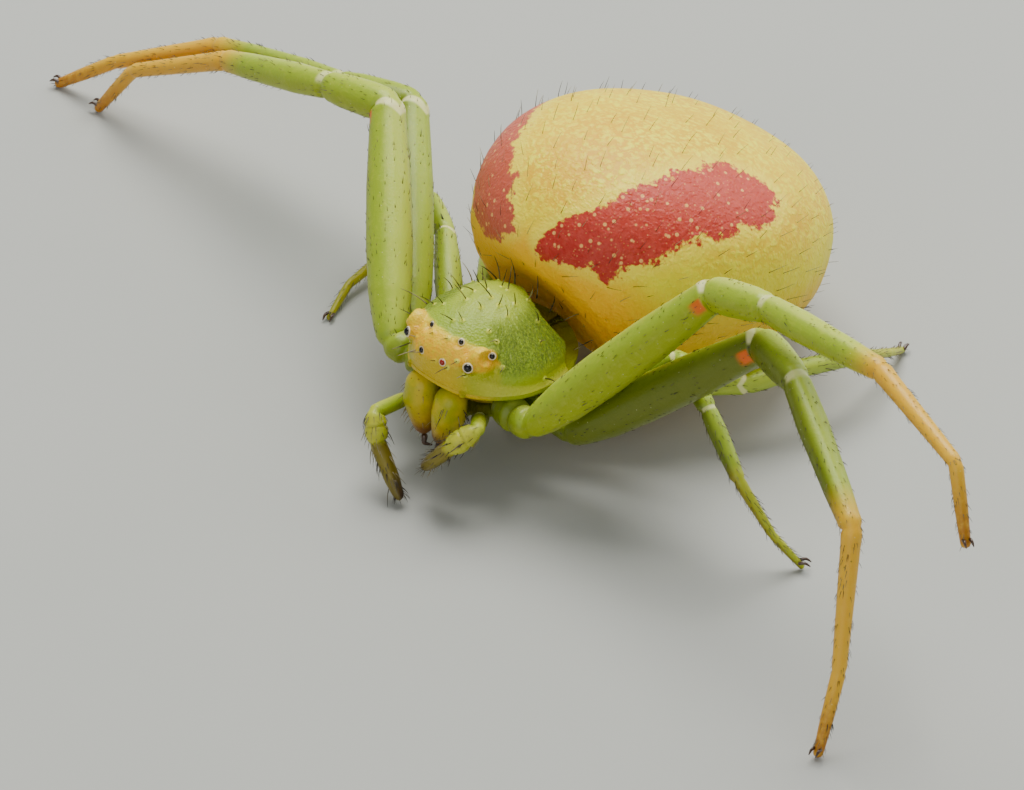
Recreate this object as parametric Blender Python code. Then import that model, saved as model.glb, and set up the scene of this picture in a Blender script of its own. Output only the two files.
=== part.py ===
"""A crab spider at life size, standing on seven feet with its left foreleg raised.

Lengths are in millimetres until a mesh is made. The spider faces -Y with its left side at +X,
y = 0 is at the front middle eyes, and z is the height above the floor.
"""

import math

import bmesh
import bpy
import numpy as np

MM = 0.001
GAP = 0.04

# Fore part of the body
EYE_HEIGHT = 2.1
CARAPACE_MIDDLE = 1.17
CARAPACE_RADIUS = 1.175
CARAPACE_HEIGHT = 0.97
CARAPACE_TILT = 0.04
SNOUT = 0.035
CHAMFER = 0.03
CHAMFER_ANGLE = math.radians(46)
CHAMFER_SPREAD = math.radians(18)
SIDE_POWER = 0.68
FACE_POWER = 0.25
BACK_POWER = 0.85
DOME_POINT = 1.5
RIM_HEIGHT = EYE_HEIGHT - 0.47
RIM_THICKNESS = 0.07
FACE_LIFT = 0.135
FACE_LIFT_SPREAD = math.radians(29)
CORE_SHARE = 0.52
CORE_TOP = EYE_HEIGHT - 0.68
CORE_BOTTOM = EYE_HEIGHT - 1.1
CORE_ROUNDING = 0.12
UNDER_RIM = ((0.9, 1.0), (0.985, 0.7))
DOME_SHARES = (1.0, 0.994, 0.975, 0.94, 0.89, 0.82, 0.72, 0.6, 0.46, 0.32, 0.18, 0.06)
AROUND_CARAPACE = 40

# Eyes of the left side: x, y, height over the front middle eyes, radius
EYES = {
    "front_middle": (0.2, 0.0, 0.0, 0.045),
    "front_outer": (0.585, 0.11, 0.05, 0.062),
    "rear_middle": (0.283, 0.285, 0.24, 0.04),
    "rear_outer": (0.7, 0.466, 0.122, 0.043),
}
SOCKET_GAP = 0.015
MOUND_SPREAD = {"outer": 2.3, "middle": 1.7}
MOUND_DEPTH = 0.85
TUBERCLE = (0.62, 0.33, EYE_HEIGHT + 0.11)
TUBERCLE_RADIUS = 0.165
MOUND_SEGMENTS = (14, 10)
MOUND_AIM = (0.0, CARAPACE_MIDDLE, EYE_HEIGHT - 0.3)

# Abdomen
ABDOMEN_MIDDLE = (0.0, 4.32, EYE_HEIGHT)
ABDOMEN_RADII = (2.42, 2.72, 1.67)
ABDOMEN_POWER = 2.3
ABDOMEN_TAPER = 0.17
ABDOMEN_TILT = math.radians(-15.5)
ABDOMEN_OVERHANG = 0.9
OVERHANG_WIDTH = 1.3
OVERHANG_TOP = EYE_HEIGHT + 1.1
OVERHANG_DEPTH = 1.8
AROUND_ABDOMEN = 40
ALONG_ABDOMEN = 24

# Legs, front to rear: where the femur starts, how thick the leg is, and its five lengths
LEG_ROOT = {1: (1.38, 0.54, 1.33), 2: (1.58, 1.12, 1.0), 3: (1.36, 1.72, 0.97), 4: (1.1, 2.16, 1.12)}
LEG_RADIUS = {1: 0.33, 2: 0.33, 3: 0.2, 4: 0.2}
LEG_LENGTHS = {
    1: (3.65, 1.18, 2.48, 2.03, 1.2),
    2: (3.85, 1.22, 2.54, 2.04, 1.25),
    3: (1.9, 0.86, 1.1, 0.95, 0.7),
    4: (2.05, 0.72, 1.15, 1.0, 0.65),
}
COXA_ROOT = {1: (0.55, 0.73), 2: (0.68, 1.09), 3: (0.66, 1.41), 4: (0.5, 1.65)}
COXA_ROOT_HEIGHT = EYE_HEIGHT - 0.92
COXA_RADIUS = {1: 0.24, 2: 0.17, 3: 0.15, 4: 0.15}
COXA_SHAPE = ((0, 0.7), (0.3, 1), (0.75, 1))

# Degrees that each length turns back from straight out, and then up from level
LEG_HEADINGS = {
    "L1": (35, -6, -8, -17, -25),
    "L2": (19, -25, -28, -58, -79),
    "L3": (20, -17, -18, 26, 37),
    "L4": (46, 66, 78, 104, 112),
    "R1": (44, -2, 5, -6, -10),
    "R2": (45, -13, -1, -13, -17),
    "R3": (42, 30, -40, -95, -110),
    "R4": (48, 66, 76, 100, 108),
}
LEG_SLOPES = {
    "L1": (46, 20, 10, -5, -68),
    "L2": (41, 11, -16, -70),
    "L3": (44, -23, -33, -59),
    "L4": (-3, 5, -12, -30),
    "R1": (28, -11, -20, -29),
    "R2": (21, -5, -13, -28),
    "R3": (7, 0, -60, -5),
    "R4": (-4, 4, -10, -30),
}

# Half width along a length, as shares of the leg's half width at its femur's middle
FEMUR_SHAPE = ((0, 0.55), (0.07, 0.74), (0.2, 0.93), (0.4, 1.0), (0.65, 0.96), (0.85, 0.84), (1, 0.74))
PATELLA_SHAPE = ((0, 0.74), (0.3, 0.79), (0.72, 0.74), (1, 0.6))
TIBIA_SHAPE = ((0.1, 0.62), (0.3, 0.67), (0.75, 0.58), (1, 0.48))
METATARSUS_SHAPE = ((0, 0.44), (0.12, 0.42), (0.6, 0.36), (1, 0.31))
TARSUS_SHAPE = ((0.12, 0.31), (0.55, 0.28), (0.88, 0.23), (1, 0.2))
SIDES = 12
CLAW_LENGTH = 0.17
CLAW_RADIUS = 0.022
CLAW_SPREAD = 0.036
CLAW_BACK = 0.12
CLAW_SHAPES = (((0, 1.3), (0.5, 1)), ((0, 1), (1, 0.3)))
CLAW_LIFT = 0.3
CLAW_PARTS = (0.6, 0.45)
CLAW_SPLAY = 0.5
CLAW_RISE = 0.035
CLAW_DROP = 0.06

# Palps: the ends of their lengths, left and right
PALP_POINTS = {
    "L": ((0.62, 0.3, 1.2), (0.97, -0.1, 1.39), (0.75, -0.41, 1.13), (0.27, -0.46, 0.55)),
    "R": ((-0.7, 0.28, 0.88), (-0.6, -0.54, 1.09), (-0.42, -0.66, 0.73), (0.16, -0.79, 0.1)),
}
PALP_SHAPES = (
    ((0, 0.075), (0.3, 0.105), (0.8, 0.11), (1, 0.1)),
    ((0, 0.12), (0.35, 0.16), (0.75, 0.165), (1, 0.12)),
    ((0, 0.11), (0.2, 0.12), (0.65, 0.11), (0.92, 0.075), (1, 0.04)),
)
PALP_PARTS = ("femur", "tibia", "tarsus")

# Jaws, mouth and breast plate
JAW_TOP = (0.29, 0.11, EYE_HEIGHT - 0.45)
JAW_BEND = (0.275, 0.04, EYE_HEIGHT - 0.9)
JAW_TIP = (0.15, -0.01, EYE_HEIGHT - 1.42)
JAW_SIDES = 14
FANG_SIDES = 8
JAW_SHAPES = (((0, 0.2), (0.5, 0.235), (1, 0.25)), ((0, 0.25), (0.35, 0.21), (0.75, 0.15), (1, 0.08)))
FANG_BEND = (0.12, -0.06, EYE_HEIGHT - 1.55)
FANG_TIP = (0.06, 0.05, EYE_HEIGHT - 1.61)
FANG_SHAPE = ((0, 0.06), (0.5, 0.045), (1, 0.01))
BREAST_MIDDLE = (0.0, 1.25, EYE_HEIGHT - 1.24)
BREAST_RADII = (0.56, 0.72, 0.1)
BREAST_SEGMENTS = (24, 10)
LIP_MIDDLE = (0.0, 0.57, EYE_HEIGHT - 1.24)
LIP_RADII = (0.15, 0.2, 0.1)
PALP_BASE_START = (0.16, 0.84, 0.9)
PALP_BASE_BEND = (0.42, 0.5, 0.94)
PALP_BASE_SHAPES = (((0, 0.08), (0.5, 0.12)), ((0, 0.13), (0.5, 0.09), (1, 0.085)))
PALP_BASE_SIDES = 10

# Waist and spinnerets
WAIST_RADIUS = 0.17
WAIST_HEIGHT = EYE_HEIGHT - 0.86
SPINNERET_ROOT = (0.14, 6.2, EYE_HEIGHT - 1.3)
SPINNERET_TIP = (0.17, 6.72, EYE_HEIGHT - 1.5)
SPINNERET_SHAPE = ((0, 0.15), (0.6, 0.13), (0.9, 0.09), (1, 0.04))
SPINNERET_BRIDGE = (0.16, 0.2, 0.14)

GREEN = (0.36, 0.5, 0.16)
PALE_GREEN = (0.55, 0.64, 0.3)
YELLOW = (0.85, 0.72, 0.18)
CREAM = (0.86, 0.76, 0.4)
OCHRE = (0.6, 0.36, 0.1)
BROWN = (0.2, 0.09, 0.03)
BLACK = (0.012, 0.01, 0.01)


def clear_scene():
    for old in list(bpy.data.objects):
        bpy.data.objects.remove(old, do_unlink=True)


def material(name, colour, roughness):
    """A Principled material with one colour."""
    made = bpy.data.materials.new(name)
    made.use_nodes = True
    shader = made.node_tree.nodes["Principled BSDF"]
    shader.inputs["Base Color"].default_value = (*colour, 1.0)
    shader.inputs["Roughness"].default_value = roughness
    shader.inputs["Metallic"].default_value = 0.0
    made.diffuse_color = (*colour, 1.0)
    return made


def mesh_object(name, points, faces, look):
    """An object whose mesh has these points, given in millimetres, with its faces turned out."""
    mesh = bpy.data.meshes.new(name)
    mesh.from_pydata((np.asarray(points) * MM).tolist(), [], faces)
    mesh.materials.append(look)
    work = bmesh.new()
    work.from_mesh(mesh)
    bmesh.ops.recalc_face_normals(work, faces=work.faces)
    work.to_mesh(mesh)
    work.free()
    mesh.shade_smooth()
    mesh.set_sharp_from_angle(angle=math.radians(40))
    made = bpy.data.objects.new(name, mesh)
    bpy.context.scene.collection.objects.link(made)
    return made


def lofted(name, rings, look):
    """One closed surface through rings of equal size, with a flat face over each end."""
    rings = np.asarray(rings)
    count, around = rings.shape[:2]
    faces = [tuple(range(around)), tuple(range((count - 1) * around, count * around))]
    for row in range(count - 1):
        for step in range(around):
            after = (step + 1) % around
            near = row * around
            far = near + around
            faces.append((near + step, near + after, far + after, far + step))
    return mesh_object(name, rings.reshape(-1, 3), faces, look)


def ball(name, middle, radii, look, around=12, along=8):
    """An ellipsoid with its poles up and down."""
    work = bmesh.new()
    bmesh.ops.create_uvsphere(work, u_segments=around, v_segments=along, radius=1.0)
    points = np.array([vertex.co for vertex in work.verts]) * radii + middle
    faces = [tuple(vertex.index for vertex in face.verts) for face in work.faces]
    work.free()
    return mesh_object(name, points, faces, look)


def unit(vector):
    return np.asarray(vector, float) / np.linalg.norm(vector)


def ring(middle, along, plane, side, radius, sides):
    """A circle round a tube that runs along `along`, sheared onto the plane with this normal."""
    up = np.cross(along, side)
    turn = np.arange(sides) * 2 * math.pi / sides
    spokes = radius * (np.cos(turn)[:, None] * side + np.sin(turn)[:, None] * up)
    return middle + spokes - np.outer(spokes @ plane, along) / (along @ plane)


def tube(name, points, shapes, look, start_plane=None, end_plane=None, sides=SIDES):
    """A tapering tube with straight lengths between the points, mitred where it bends.

    Each shape lists (share of that length, radius). The planes are the normals of its two ends,
    which stand half a gap back from the first and last points.
    """
    points = [np.asarray(point, float) for point in points]
    ways = [unit(b - a) for a, b in zip(points, points[1:])]
    planes = [ways[0] if start_plane is None else start_plane]
    planes += [unit(a + b) for a, b in zip(ways, ways[1:])]
    planes.append(ways[-1] if end_plane is None else end_plane)
    side = unit(np.cross(ways[0], (0.0, 0.0, 1.0)))
    rings = []
    for index, (way, shape) in enumerate(zip(ways, shapes)):
        side = unit(side - (side @ way) * way)
        start, end = points[index], points[index + 1]
        if index == 0:
            start = start + way * GAP / 2 / (way @ planes[0])
        if index == len(ways) - 1:
            end = end - way * GAP / 2 / (way @ planes[-1])
        for share, radius in shape:
            plane = way
            if share == 0:
                plane = planes[index]
            if share == 1:
                plane = planes[index + 1]
            rings.append(ring(start + (end - start) * share, way, plane, side, radius, sides))
    return lofted(name, rings, look)


def largest_only(mesh):
    """Removes every closed surface but the one with the most faces."""
    work = bmesh.new()
    work.from_mesh(mesh)
    unseen = set(work.faces)
    islands = []
    while unseen:
        island = {unseen.pop()}
        edge_of_island = list(island)
        while edge_of_island:
            face = edge_of_island.pop()
            for edge in face.edges:
                fresh = set(edge.link_faces) & unseen
                unseen -= fresh
                island |= fresh
                edge_of_island += fresh
        islands.append(island)
    islands.sort(key=len)
    for scrap in islands[:-1]:
        bmesh.ops.delete(work, geom=list(scrap), context="FACES")
    loose = [vertex for vertex in work.verts if not vertex.link_faces]
    bmesh.ops.delete(work, geom=loose, context="VERTS")
    work.to_mesh(mesh)
    work.free()


def combined(target, others, operation):
    """Applies one Boolean of the target with the other objects, then removes them."""
    group = bpy.data.collections.new("operands")
    for other in others:
        group.objects.link(other)
    change = target.modifiers.new(operation.title(), "BOOLEAN")
    change.operation = operation
    change.solver = "EXACT"
    change.operand_type = "COLLECTION"
    change.collection = group
    graph = bpy.context.evaluated_depsgraph_get()
    mesh = bpy.data.meshes.new_from_object(target.evaluated_get(graph))
    target.modifiers.clear()
    target.data = mesh
    mesh.name = target.name
    for other in others:
        bpy.data.objects.remove(other, do_unlink=True)
    bpy.data.collections.remove(group)
    largest_only(mesh)
    mesh.shade_smooth()
    mesh.set_sharp_from_angle(angle=math.radians(40))
    return target


def grown(source, amount):
    """A copy of an object with its surface moved out by an amount in millimetres."""
    copy = source.copy()
    copy.data = source.data.copy()
    bpy.context.scene.collection.objects.link(copy)
    count = len(copy.data.vertices)
    points = np.empty(count * 3, np.float32)
    copy.data.vertices.foreach_get("co", points)
    normals = np.empty(count * 3, np.float32)
    copy.data.vertex_normals.foreach_get("vector", normals)
    copy.data.vertices.foreach_set("co", points + normals * amount * MM)
    copy.data.update()
    return copy


def cut_clear(target, *neighbours):
    """Cuts the target back until it stands one gap off each neighbour."""
    return combined(target, [grown(other, GAP) for other in neighbours], "DIFFERENCE")


def smooth_step(value):
    share = np.clip(value, 0.0, 1.0)
    return share * share * (3 - 2 * share)


def mirrored(point, side):
    return np.array(point, float) * (side, 1, 1)


def carapace_rings():
    """Rings of the core between the legs, the rim's underside and then the dome.

    The outline is a circle with a slight snout and a bell taken off at each front corner. The
    dome's height is a power of one minus a power of the distance from the middle, and the outer
    power falls toward the face, which makes the front steep while the back slopes away. The rim
    rises under the eyes, and the dome leans up toward the rear.
    """
    turn = np.arange(AROUND_CARAPACE) * 2 * math.pi / AROUND_CARAPACE
    forward = np.cos(turn)
    across = np.sin(turn)
    aside = np.minimum(turn, 2 * math.pi - turn)
    corner = (aside - CHAMFER_ANGLE) / CHAMFER_SPREAD
    outline = CARAPACE_RADIUS * (1 + SNOUT * np.maximum(forward, 0) ** 3 - CHAMFER * np.exp(-(corner**2)))
    power = SIDE_POWER + (FACE_POWER - SIDE_POWER) * np.maximum(forward, 0)
    power = power + (BACK_POWER - SIDE_POWER) * np.maximum(-forward, 0) ** 2
    lift = FACE_LIFT * np.exp(-((aside / FACE_LIFT_SPREAD) ** 2))

    def level(share, height):
        flat = np.ones(AROUND_CARAPACE)
        return np.stack(
            [share * outline * across, CARAPACE_MIDDLE - share * outline * forward, height * flat], 1
        )

    rings = [level(DOME_SHARES[-1], CORE_BOTTOM), level(CORE_SHARE - CORE_ROUNDING, CORE_BOTTOM)]
    rings.append(level(CORE_SHARE, CORE_BOTTOM + CORE_ROUNDING))
    rings.append(level(CORE_SHARE, CORE_TOP))
    for distance, drop in UNDER_RIM:
        rings.append(level(distance, RIM_HEIGHT + lift - RIM_THICKNESS * drop))
    for distance in DOME_SHARES:
        rise = (CARAPACE_HEIGHT - lift) * (1 - distance**DOME_POINT) ** power
        tilt = -CARAPACE_TILT * distance * outline * forward * (1 - distance**2)
        rings.append(level(distance, RIM_HEIGHT + lift + rise + tilt))
    return rings


def make_head(looks):
    """The carapace with its mounds and tubercles, the eight eyes in their sockets, and the jaws."""
    carapace = lofted("carapace", carapace_rings(), looks["carapace"])
    mounds = []
    sockets = []
    for place, (x, y, rise, radius) in EYES.items():
        for letter, side in (("L", 1), ("R", -1)):
            middle = mirrored((x, y, EYE_HEIGHT + rise), side)
            inward = unit(np.array(MOUND_AIM) - middle)
            spread = radius * MOUND_SPREAD[place.split("_")[1]]
            heart = middle + inward * spread * MOUND_DEPTH
            mounds.append(ball(f"mound_{place}", heart, spread, looks["carapace"], *MOUND_SEGMENTS))
            ball(f"eye_{place}_{letter}", middle, radius, looks["eye"])
            sockets.append(ball(f"socket_{place}", middle, radius + SOCKET_GAP, looks["carapace"]))
    for side in (1, -1):
        middle = mirrored(TUBERCLE, side)
        mounds.append(ball("tubercle", middle, TUBERCLE_RADIUS, looks["carapace"], *MOUND_SEGMENTS))
    combined(carapace, mounds, "UNION")
    combined(carapace, sockets, "DIFFERENCE")
    for letter, side in (("L", 1), ("R", -1)):
        tip = mirrored(JAW_TIP, side)
        jaw_points = (mirrored(JAW_TOP, side), mirrored(JAW_BEND, side), tip)
        jaw = tube(f"chelicera_{letter}", jaw_points, JAW_SHAPES, looks["jaw"], sides=JAW_SIDES)
        cut_clear(jaw, carapace)
        fang_points = (tip, mirrored(FANG_BEND, side), mirrored(FANG_TIP, side))
        tube(f"fang_{letter}", fang_points, (FANG_SHAPE[:2], FANG_SHAPE[1:]), looks["fang"], sides=FANG_SIDES)
    return carapace


def make_underside(looks, carapace):
    """The breast plate, with the lip and the two palp bases that stand before it."""
    plate = ball("sternum", BREAST_MIDDLE, BREAST_RADII, looks["underside"], *BREAST_SEGMENTS)
    pieces = [ball("lip", LIP_MIDDLE, LIP_RADII, looks["underside"])]
    for letter, side in (("L", 1), ("R", -1)):
        points = [mirrored(PALP_BASE_START, side), mirrored(PALP_BASE_BEND, side)]
        points.append(np.array(PALP_POINTS[letter][0]))
        pieces.append(tube("palp_base", points, PALP_BASE_SHAPES, looks["underside"], sides=PALP_BASE_SIDES))
    combined(plate, pieces, "UNION")
    return cut_clear(plate, carapace)


def abdomen_shape(points):
    """Unit sphere points to the abdomen: a full ellipsoid, tilted, its low front drawn back.

    Its section is a superellipse, and its height falls evenly toward the rear.
    """
    across, along, up = np.asarray(points).T
    level = np.hypot(across, along)
    swell = (level**ABDOMEN_POWER + np.abs(up) ** ABDOMEN_POWER) ** (-1 / ABDOMEN_POWER)
    x = across * swell * ABDOMEN_RADII[0]
    y = along * swell * ABDOMEN_RADII[1]
    z = up * swell * ABDOMEN_RADII[2] * (1 - ABDOMEN_TAPER * along * swell)
    front = np.maximum(-along * swell, 0) ** 2
    tilted_y = y * math.cos(ABDOMEN_TILT) - z * math.sin(ABDOMEN_TILT)
    tilted_z = y * math.sin(ABDOMEN_TILT) + z * math.cos(ABDOMEN_TILT)
    height = tilted_z + ABDOMEN_MIDDLE[2]
    low = smooth_step((OVERHANG_TOP - height) / OVERHANG_DEPTH) * np.exp(-((x / OVERHANG_WIDTH) ** 2))
    return np.stack([x, tilted_y + ABDOMEN_MIDDLE[1] + ABDOMEN_OVERHANG * front * low, height], 1)


def make_abdomen(looks, carapace):
    work = bmesh.new()
    bmesh.ops.create_uvsphere(work, u_segments=AROUND_ABDOMEN, v_segments=ALONG_ABDOMEN, radius=1.0)
    sphere = np.array([vertex.co for vertex in work.verts])
    faces = [tuple(vertex.index for vertex in face.verts) for face in work.faces]
    work.free()
    poles_along_body = sphere[:, (0, 2, 1)]
    abdomen = mesh_object("abdomen", abdomen_shape(poles_along_body), faces, looks["abdomen"])
    start = (0.0, CARAPACE_MIDDLE, WAIST_HEIGHT)
    end = (0.0, ABDOMEN_MIDDLE[1], WAIST_HEIGHT)
    waist = tube("pedicel", (start, end), (((0, WAIST_RADIUS), (1, WAIST_RADIUS)),), looks["underside"])
    cut_clear(waist, carapace, abdomen)
    teats = []
    for side in (1, -1):
        points = (mirrored(SPINNERET_ROOT, side), mirrored(SPINNERET_TIP, side))
        teats.append(tube(f"spinnerets_{side}", points, (SPINNERET_SHAPE,), looks["underside"]))
    bridge_middle = (np.array(SPINNERET_ROOT) + SPINNERET_TIP) / 2 * (0, 1, 1)
    teats.append(ball("bridge", bridge_middle, SPINNERET_BRIDGE, looks["underside"]))
    spinnerets = combined(teats[0], teats[1:], "UNION")
    spinnerets.name = "spinnerets"
    cut_clear(spinnerets, abdomen)
    return abdomen


def leg_points(leg):
    """The femur's root and the five ends that follow it. A foot with no slope reaches the floor."""
    side = 1 if leg[0] == "L" else -1
    pair = int(leg[1])
    points = [mirrored(LEG_ROOT[pair], side)]
    slopes = [math.radians(slope) for slope in LEG_SLOPES[leg]]
    for index, (length, heading) in enumerate(zip(LEG_LENGTHS[pair], LEG_HEADINGS[leg])):
        if index < len(slopes):
            slope = slopes[index]
        else:
            slope = -math.asin(points[-1][2] / length)
        turn = math.radians(heading)
        way = (side * math.cos(turn) * math.cos(slope), math.sin(turn) * math.cos(slope), math.sin(slope))
        points.append(points[-1] + length * np.array(way))
    return points


def scaled(shape, radius):
    return tuple((share, part * radius) for share, part in shape)


def claws(leg, ankle, tip, radius, look):
    """Two small hooks over the end of the foot."""
    way = unit(tip - ankle)
    side = unit(np.cross(way, (0.0, 0.0, 1.0)))
    out = unit(way * (1, 1, 0))
    made = []
    for hand in (1, -1):
        apart = side * hand * CLAW_SPREAD
        root = tip - way * CLAW_BACK + apart + (0, 0, radius * CLAW_LIFT)
        middle = root + out * CLAW_LENGTH * CLAW_PARTS[0] + apart * CLAW_SPLAY + (0, 0, CLAW_RISE)
        end = middle + out * CLAW_LENGTH * CLAW_PARTS[1] - (0, 0, CLAW_DROP)
        shapes = (scaled(CLAW_SHAPES[0], CLAW_RADIUS), scaled(CLAW_SHAPES[1], CLAW_RADIUS))
        made.append(tube(f"claw_{leg}_{hand}", (root, middle, end), shapes, look, sides=6))
    return made


def make_leg(leg, looks, carapace, sternum):
    """Four nodes: coxa, femur, patella with tibia, and metatarsus with tarsus and claws."""
    side = 1 if leg[0] == "L" else -1
    pair = int(leg[1])
    radius = LEG_RADIUS[pair]
    points = leg_points(leg)
    ways = [unit(b - a) for a, b in zip(points, points[1:])]
    coxa_x, coxa_y = COXA_ROOT[pair]
    coxa_root = np.array((side * coxa_x, coxa_y, COXA_ROOT_HEIGHT))
    coxa_way = unit(points[0] - coxa_root)
    hip = unit(coxa_way + ways[0])
    knee = unit(ways[0] + ways[1])
    ankle = unit(ways[2] + ways[3])
    coxa_shape = (*scaled(COXA_SHAPE, COXA_RADIUS[pair]), (1, radius * FEMUR_SHAPE[0][1]))
    coxa = tube(f"leg_{leg}_coxa", (coxa_root, points[0]), (coxa_shape,), looks["leg"], end_plane=hip)
    cut_clear(coxa, carapace, sternum)
    tube(f"leg_{leg}_femur", points[:2], (scaled(FEMUR_SHAPE, radius),), looks["leg"], hip, knee)
    shapes = (scaled(PATELLA_SHAPE, radius), scaled(TIBIA_SHAPE, radius))
    tube(f"leg_{leg}_tibia", points[1:4], shapes, looks["leg"], knee, ankle)
    shapes = (scaled(METATARSUS_SHAPE, radius), scaled(TARSUS_SHAPE, radius))
    sole = np.array((0.0, 0.0, -1.0)) if len(LEG_SLOPES[leg]) < len(ways) else None
    ends = points[3:]
    if sole is not None:
        ends[-1] = ends[-1] + ways[-1] * GAP / 2 / (ways[-1] @ sole)
    foot = tube(f"leg_{leg}_foot", ends, shapes, looks["foot"], ankle, sole, sides=10)
    combined(foot, claws(leg, points[4], points[5], radius * TARSUS_SHAPE[-1][1], looks["fang"]), "UNION")


def make_palp(letter, looks):
    """Three nodes that hang beside the jaws."""
    points = [np.array(point) for point in PALP_POINTS[letter]]
    ways = [unit(b - a) for a, b in zip(points, points[1:])]
    bends = [unit(a + b) for a, b in zip(ways, ways[1:])]
    planes = [ways[0], *bends, ways[-1]]
    for index, part in enumerate(PALP_PARTS):
        look = looks["foot"] if part == "tarsus" else looks["leg"]
        tube(f"palp_{letter}_{part}", points[index:index + 2], (PALP_SHAPES[index],), look,
             planes[index], planes[index + 1], sides=10)


def stand_on_origin(nodes):
    """Parents the nodes to an empty that brings their box's bottom middle to the origin."""
    corners = np.concatenate([np.array([vertex.co for vertex in node.data.vertices]) for node in nodes])
    low = corners.min(axis=0)
    high = corners.max(axis=0)
    body = bpy.data.objects.new("spider", None)
    bpy.context.scene.collection.objects.link(body)
    body.location = (-(low[0] + high[0]) / 2, -(low[1] + high[1]) / 2, -low[2])
    for node in nodes:
        node.parent = body


def main():
    clear_scene()
    looks = {
        "carapace": material("carapace_green", GREEN, 0.4),
        "leg": material("leg_green", PALE_GREEN, 0.4),
        "foot": material("foot_ochre", OCHRE, 0.4),
        "abdomen": material("abdomen_cream", CREAM, 0.5),
        "underside": material("underside_yellow", YELLOW, 0.5),
        "jaw": material("jaw_ochre", OCHRE, 0.35),
        "fang": material("fang_brown", BROWN, 0.25),
        "eye": material("eye_black", BLACK, 0.08),
    }
    carapace = make_head(looks)
    sternum = make_underside(looks, carapace)
    make_abdomen(looks, carapace)
    for leg in LEG_HEADINGS:
        make_leg(leg, looks, carapace, sternum)
    for letter in PALP_POINTS:
        make_palp(letter, looks)
    nodes = [made for made in bpy.context.scene.objects if made.type == "MESH"]
    stand_on_origin(nodes)


main()
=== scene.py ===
"""Looks of a life-size crab spider: skins, markings, eyes, claws and bristles round its solids.

Lengths are in millimetres, in the spider's own frame, until a mesh is made. The spider faces -Y
with its left side at +X, y = 0 is at the front middle eyes, and z is the height above the floor.
"""

import math

import bpy
import numpy as np
from bpy.props import FloatProperty, FloatVectorProperty, IntProperty, PointerProperty
from bpy.types import Operator, Panel, PropertyGroup
from mathutils import Matrix, Vector


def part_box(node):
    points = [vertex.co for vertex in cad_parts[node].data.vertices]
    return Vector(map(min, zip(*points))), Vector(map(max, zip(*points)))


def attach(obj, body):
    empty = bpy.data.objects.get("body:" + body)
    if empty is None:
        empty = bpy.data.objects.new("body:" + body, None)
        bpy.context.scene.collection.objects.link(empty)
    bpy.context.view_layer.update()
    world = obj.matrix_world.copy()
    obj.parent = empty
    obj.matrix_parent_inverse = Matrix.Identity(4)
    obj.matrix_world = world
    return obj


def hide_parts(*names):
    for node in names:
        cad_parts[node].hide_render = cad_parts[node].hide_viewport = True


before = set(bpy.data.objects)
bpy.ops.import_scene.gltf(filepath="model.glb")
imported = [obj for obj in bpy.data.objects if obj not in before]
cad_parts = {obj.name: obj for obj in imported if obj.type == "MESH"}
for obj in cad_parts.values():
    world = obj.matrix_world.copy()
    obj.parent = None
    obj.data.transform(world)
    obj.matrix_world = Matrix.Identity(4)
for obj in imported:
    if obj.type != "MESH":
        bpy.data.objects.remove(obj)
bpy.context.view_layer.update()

bl_info = {
    "name": "Crab Spider Looks",
    "version": (1, 0, 0),
    "blender": (4, 5, 0),
    "location": "3D View > Sidebar > Spider",
    "description": "Builds the skins, markings, eyes, claws and bristles of a life-size crab spider",
    "category": "Object",
}

MM = 0.001
TAU = 2 * math.pi
BODY = "root"
SIDES = {"L": 1, "R": -1}

# Fore part of the body
EYE_HEIGHT = 2.1
CARAPACE_MIDDLE = 1.17
CARAPACE_RADIUS = 1.175
CARAPACE_HEIGHT = 0.97
CARAPACE_TILT = 0.04
SNOUT = 0.035
CHAMFER = 0.03
CHAMFER_ANGLE = math.radians(46)
CHAMFER_SPREAD = math.radians(18)
SIDE_POWER = 0.68
FACE_POWER = 0.25
BACK_POWER = 0.85
DOME_POINT = 1.5
RIM_HEIGHT = EYE_HEIGHT - 0.47
RIM_THICKNESS = 0.07
FACE_LIFT = 0.135
FACE_LIFT_SPREAD = math.radians(29)
CORE_SHARE = 0.52
CORE_TOP = EYE_HEIGHT - 0.68
CORE_BOTTOM = EYE_HEIGHT - 1.1
CORE_ROUNDING = 0.12
EYES = ("front_middle", "front_outer", "rear_middle", "rear_outer")
EYE_AIM = (0.0, CARAPACE_MIDDLE, EYE_HEIGHT - 0.3)
MOUND_SHARE = {"outer": 2.3, "middle": 1.7}
MOUND_TOP = 0.15
LENS_GRID = (22, 32)
RING_GRID = (40, 10)
TUBERCLE = (0.62, 0.33, EYE_HEIGHT + 0.11)
TUBERCLE_RADIUS = 0.165
TUBERCLE_WAY = (0.35, -0.25, 0.9)
TUBERCLE_BLEND = 0.025
FACE_KNOB = (0.5, 0.09, EYE_HEIGHT - 0.44)
FACE_KNOB_RADIUS = 0.06
SHIELD_COLUMNS = 340
SHIELD_ROWS = 190
UNREST = 0.012
FURROWS = 46
FURROW_DEPTH = 0.005
BUMP_HEIGHT = 0.024
BUMP_WIDTH = 0.032
# Height over the rim, lift and width of the ridge and the hollow that follow it
RIM_WAVES = ((0.012, 0.016, 0.022), (0.12, -0.022, 0.06))
LIP_STEPS = 8
# Shares of the way out and heights from under the rim to the middle of the core
UNDER_SHIELD = (
    (CORE_SHARE + 0.08, CORE_TOP + 0.02), (CORE_SHARE, CORE_TOP - 0.05),
    (CORE_SHARE, CORE_BOTTOM + CORE_ROUNDING), (CORE_SHARE - CORE_ROUNDING, CORE_BOTTOM),
    (0.06, CORE_BOTTOM),
)
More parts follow.
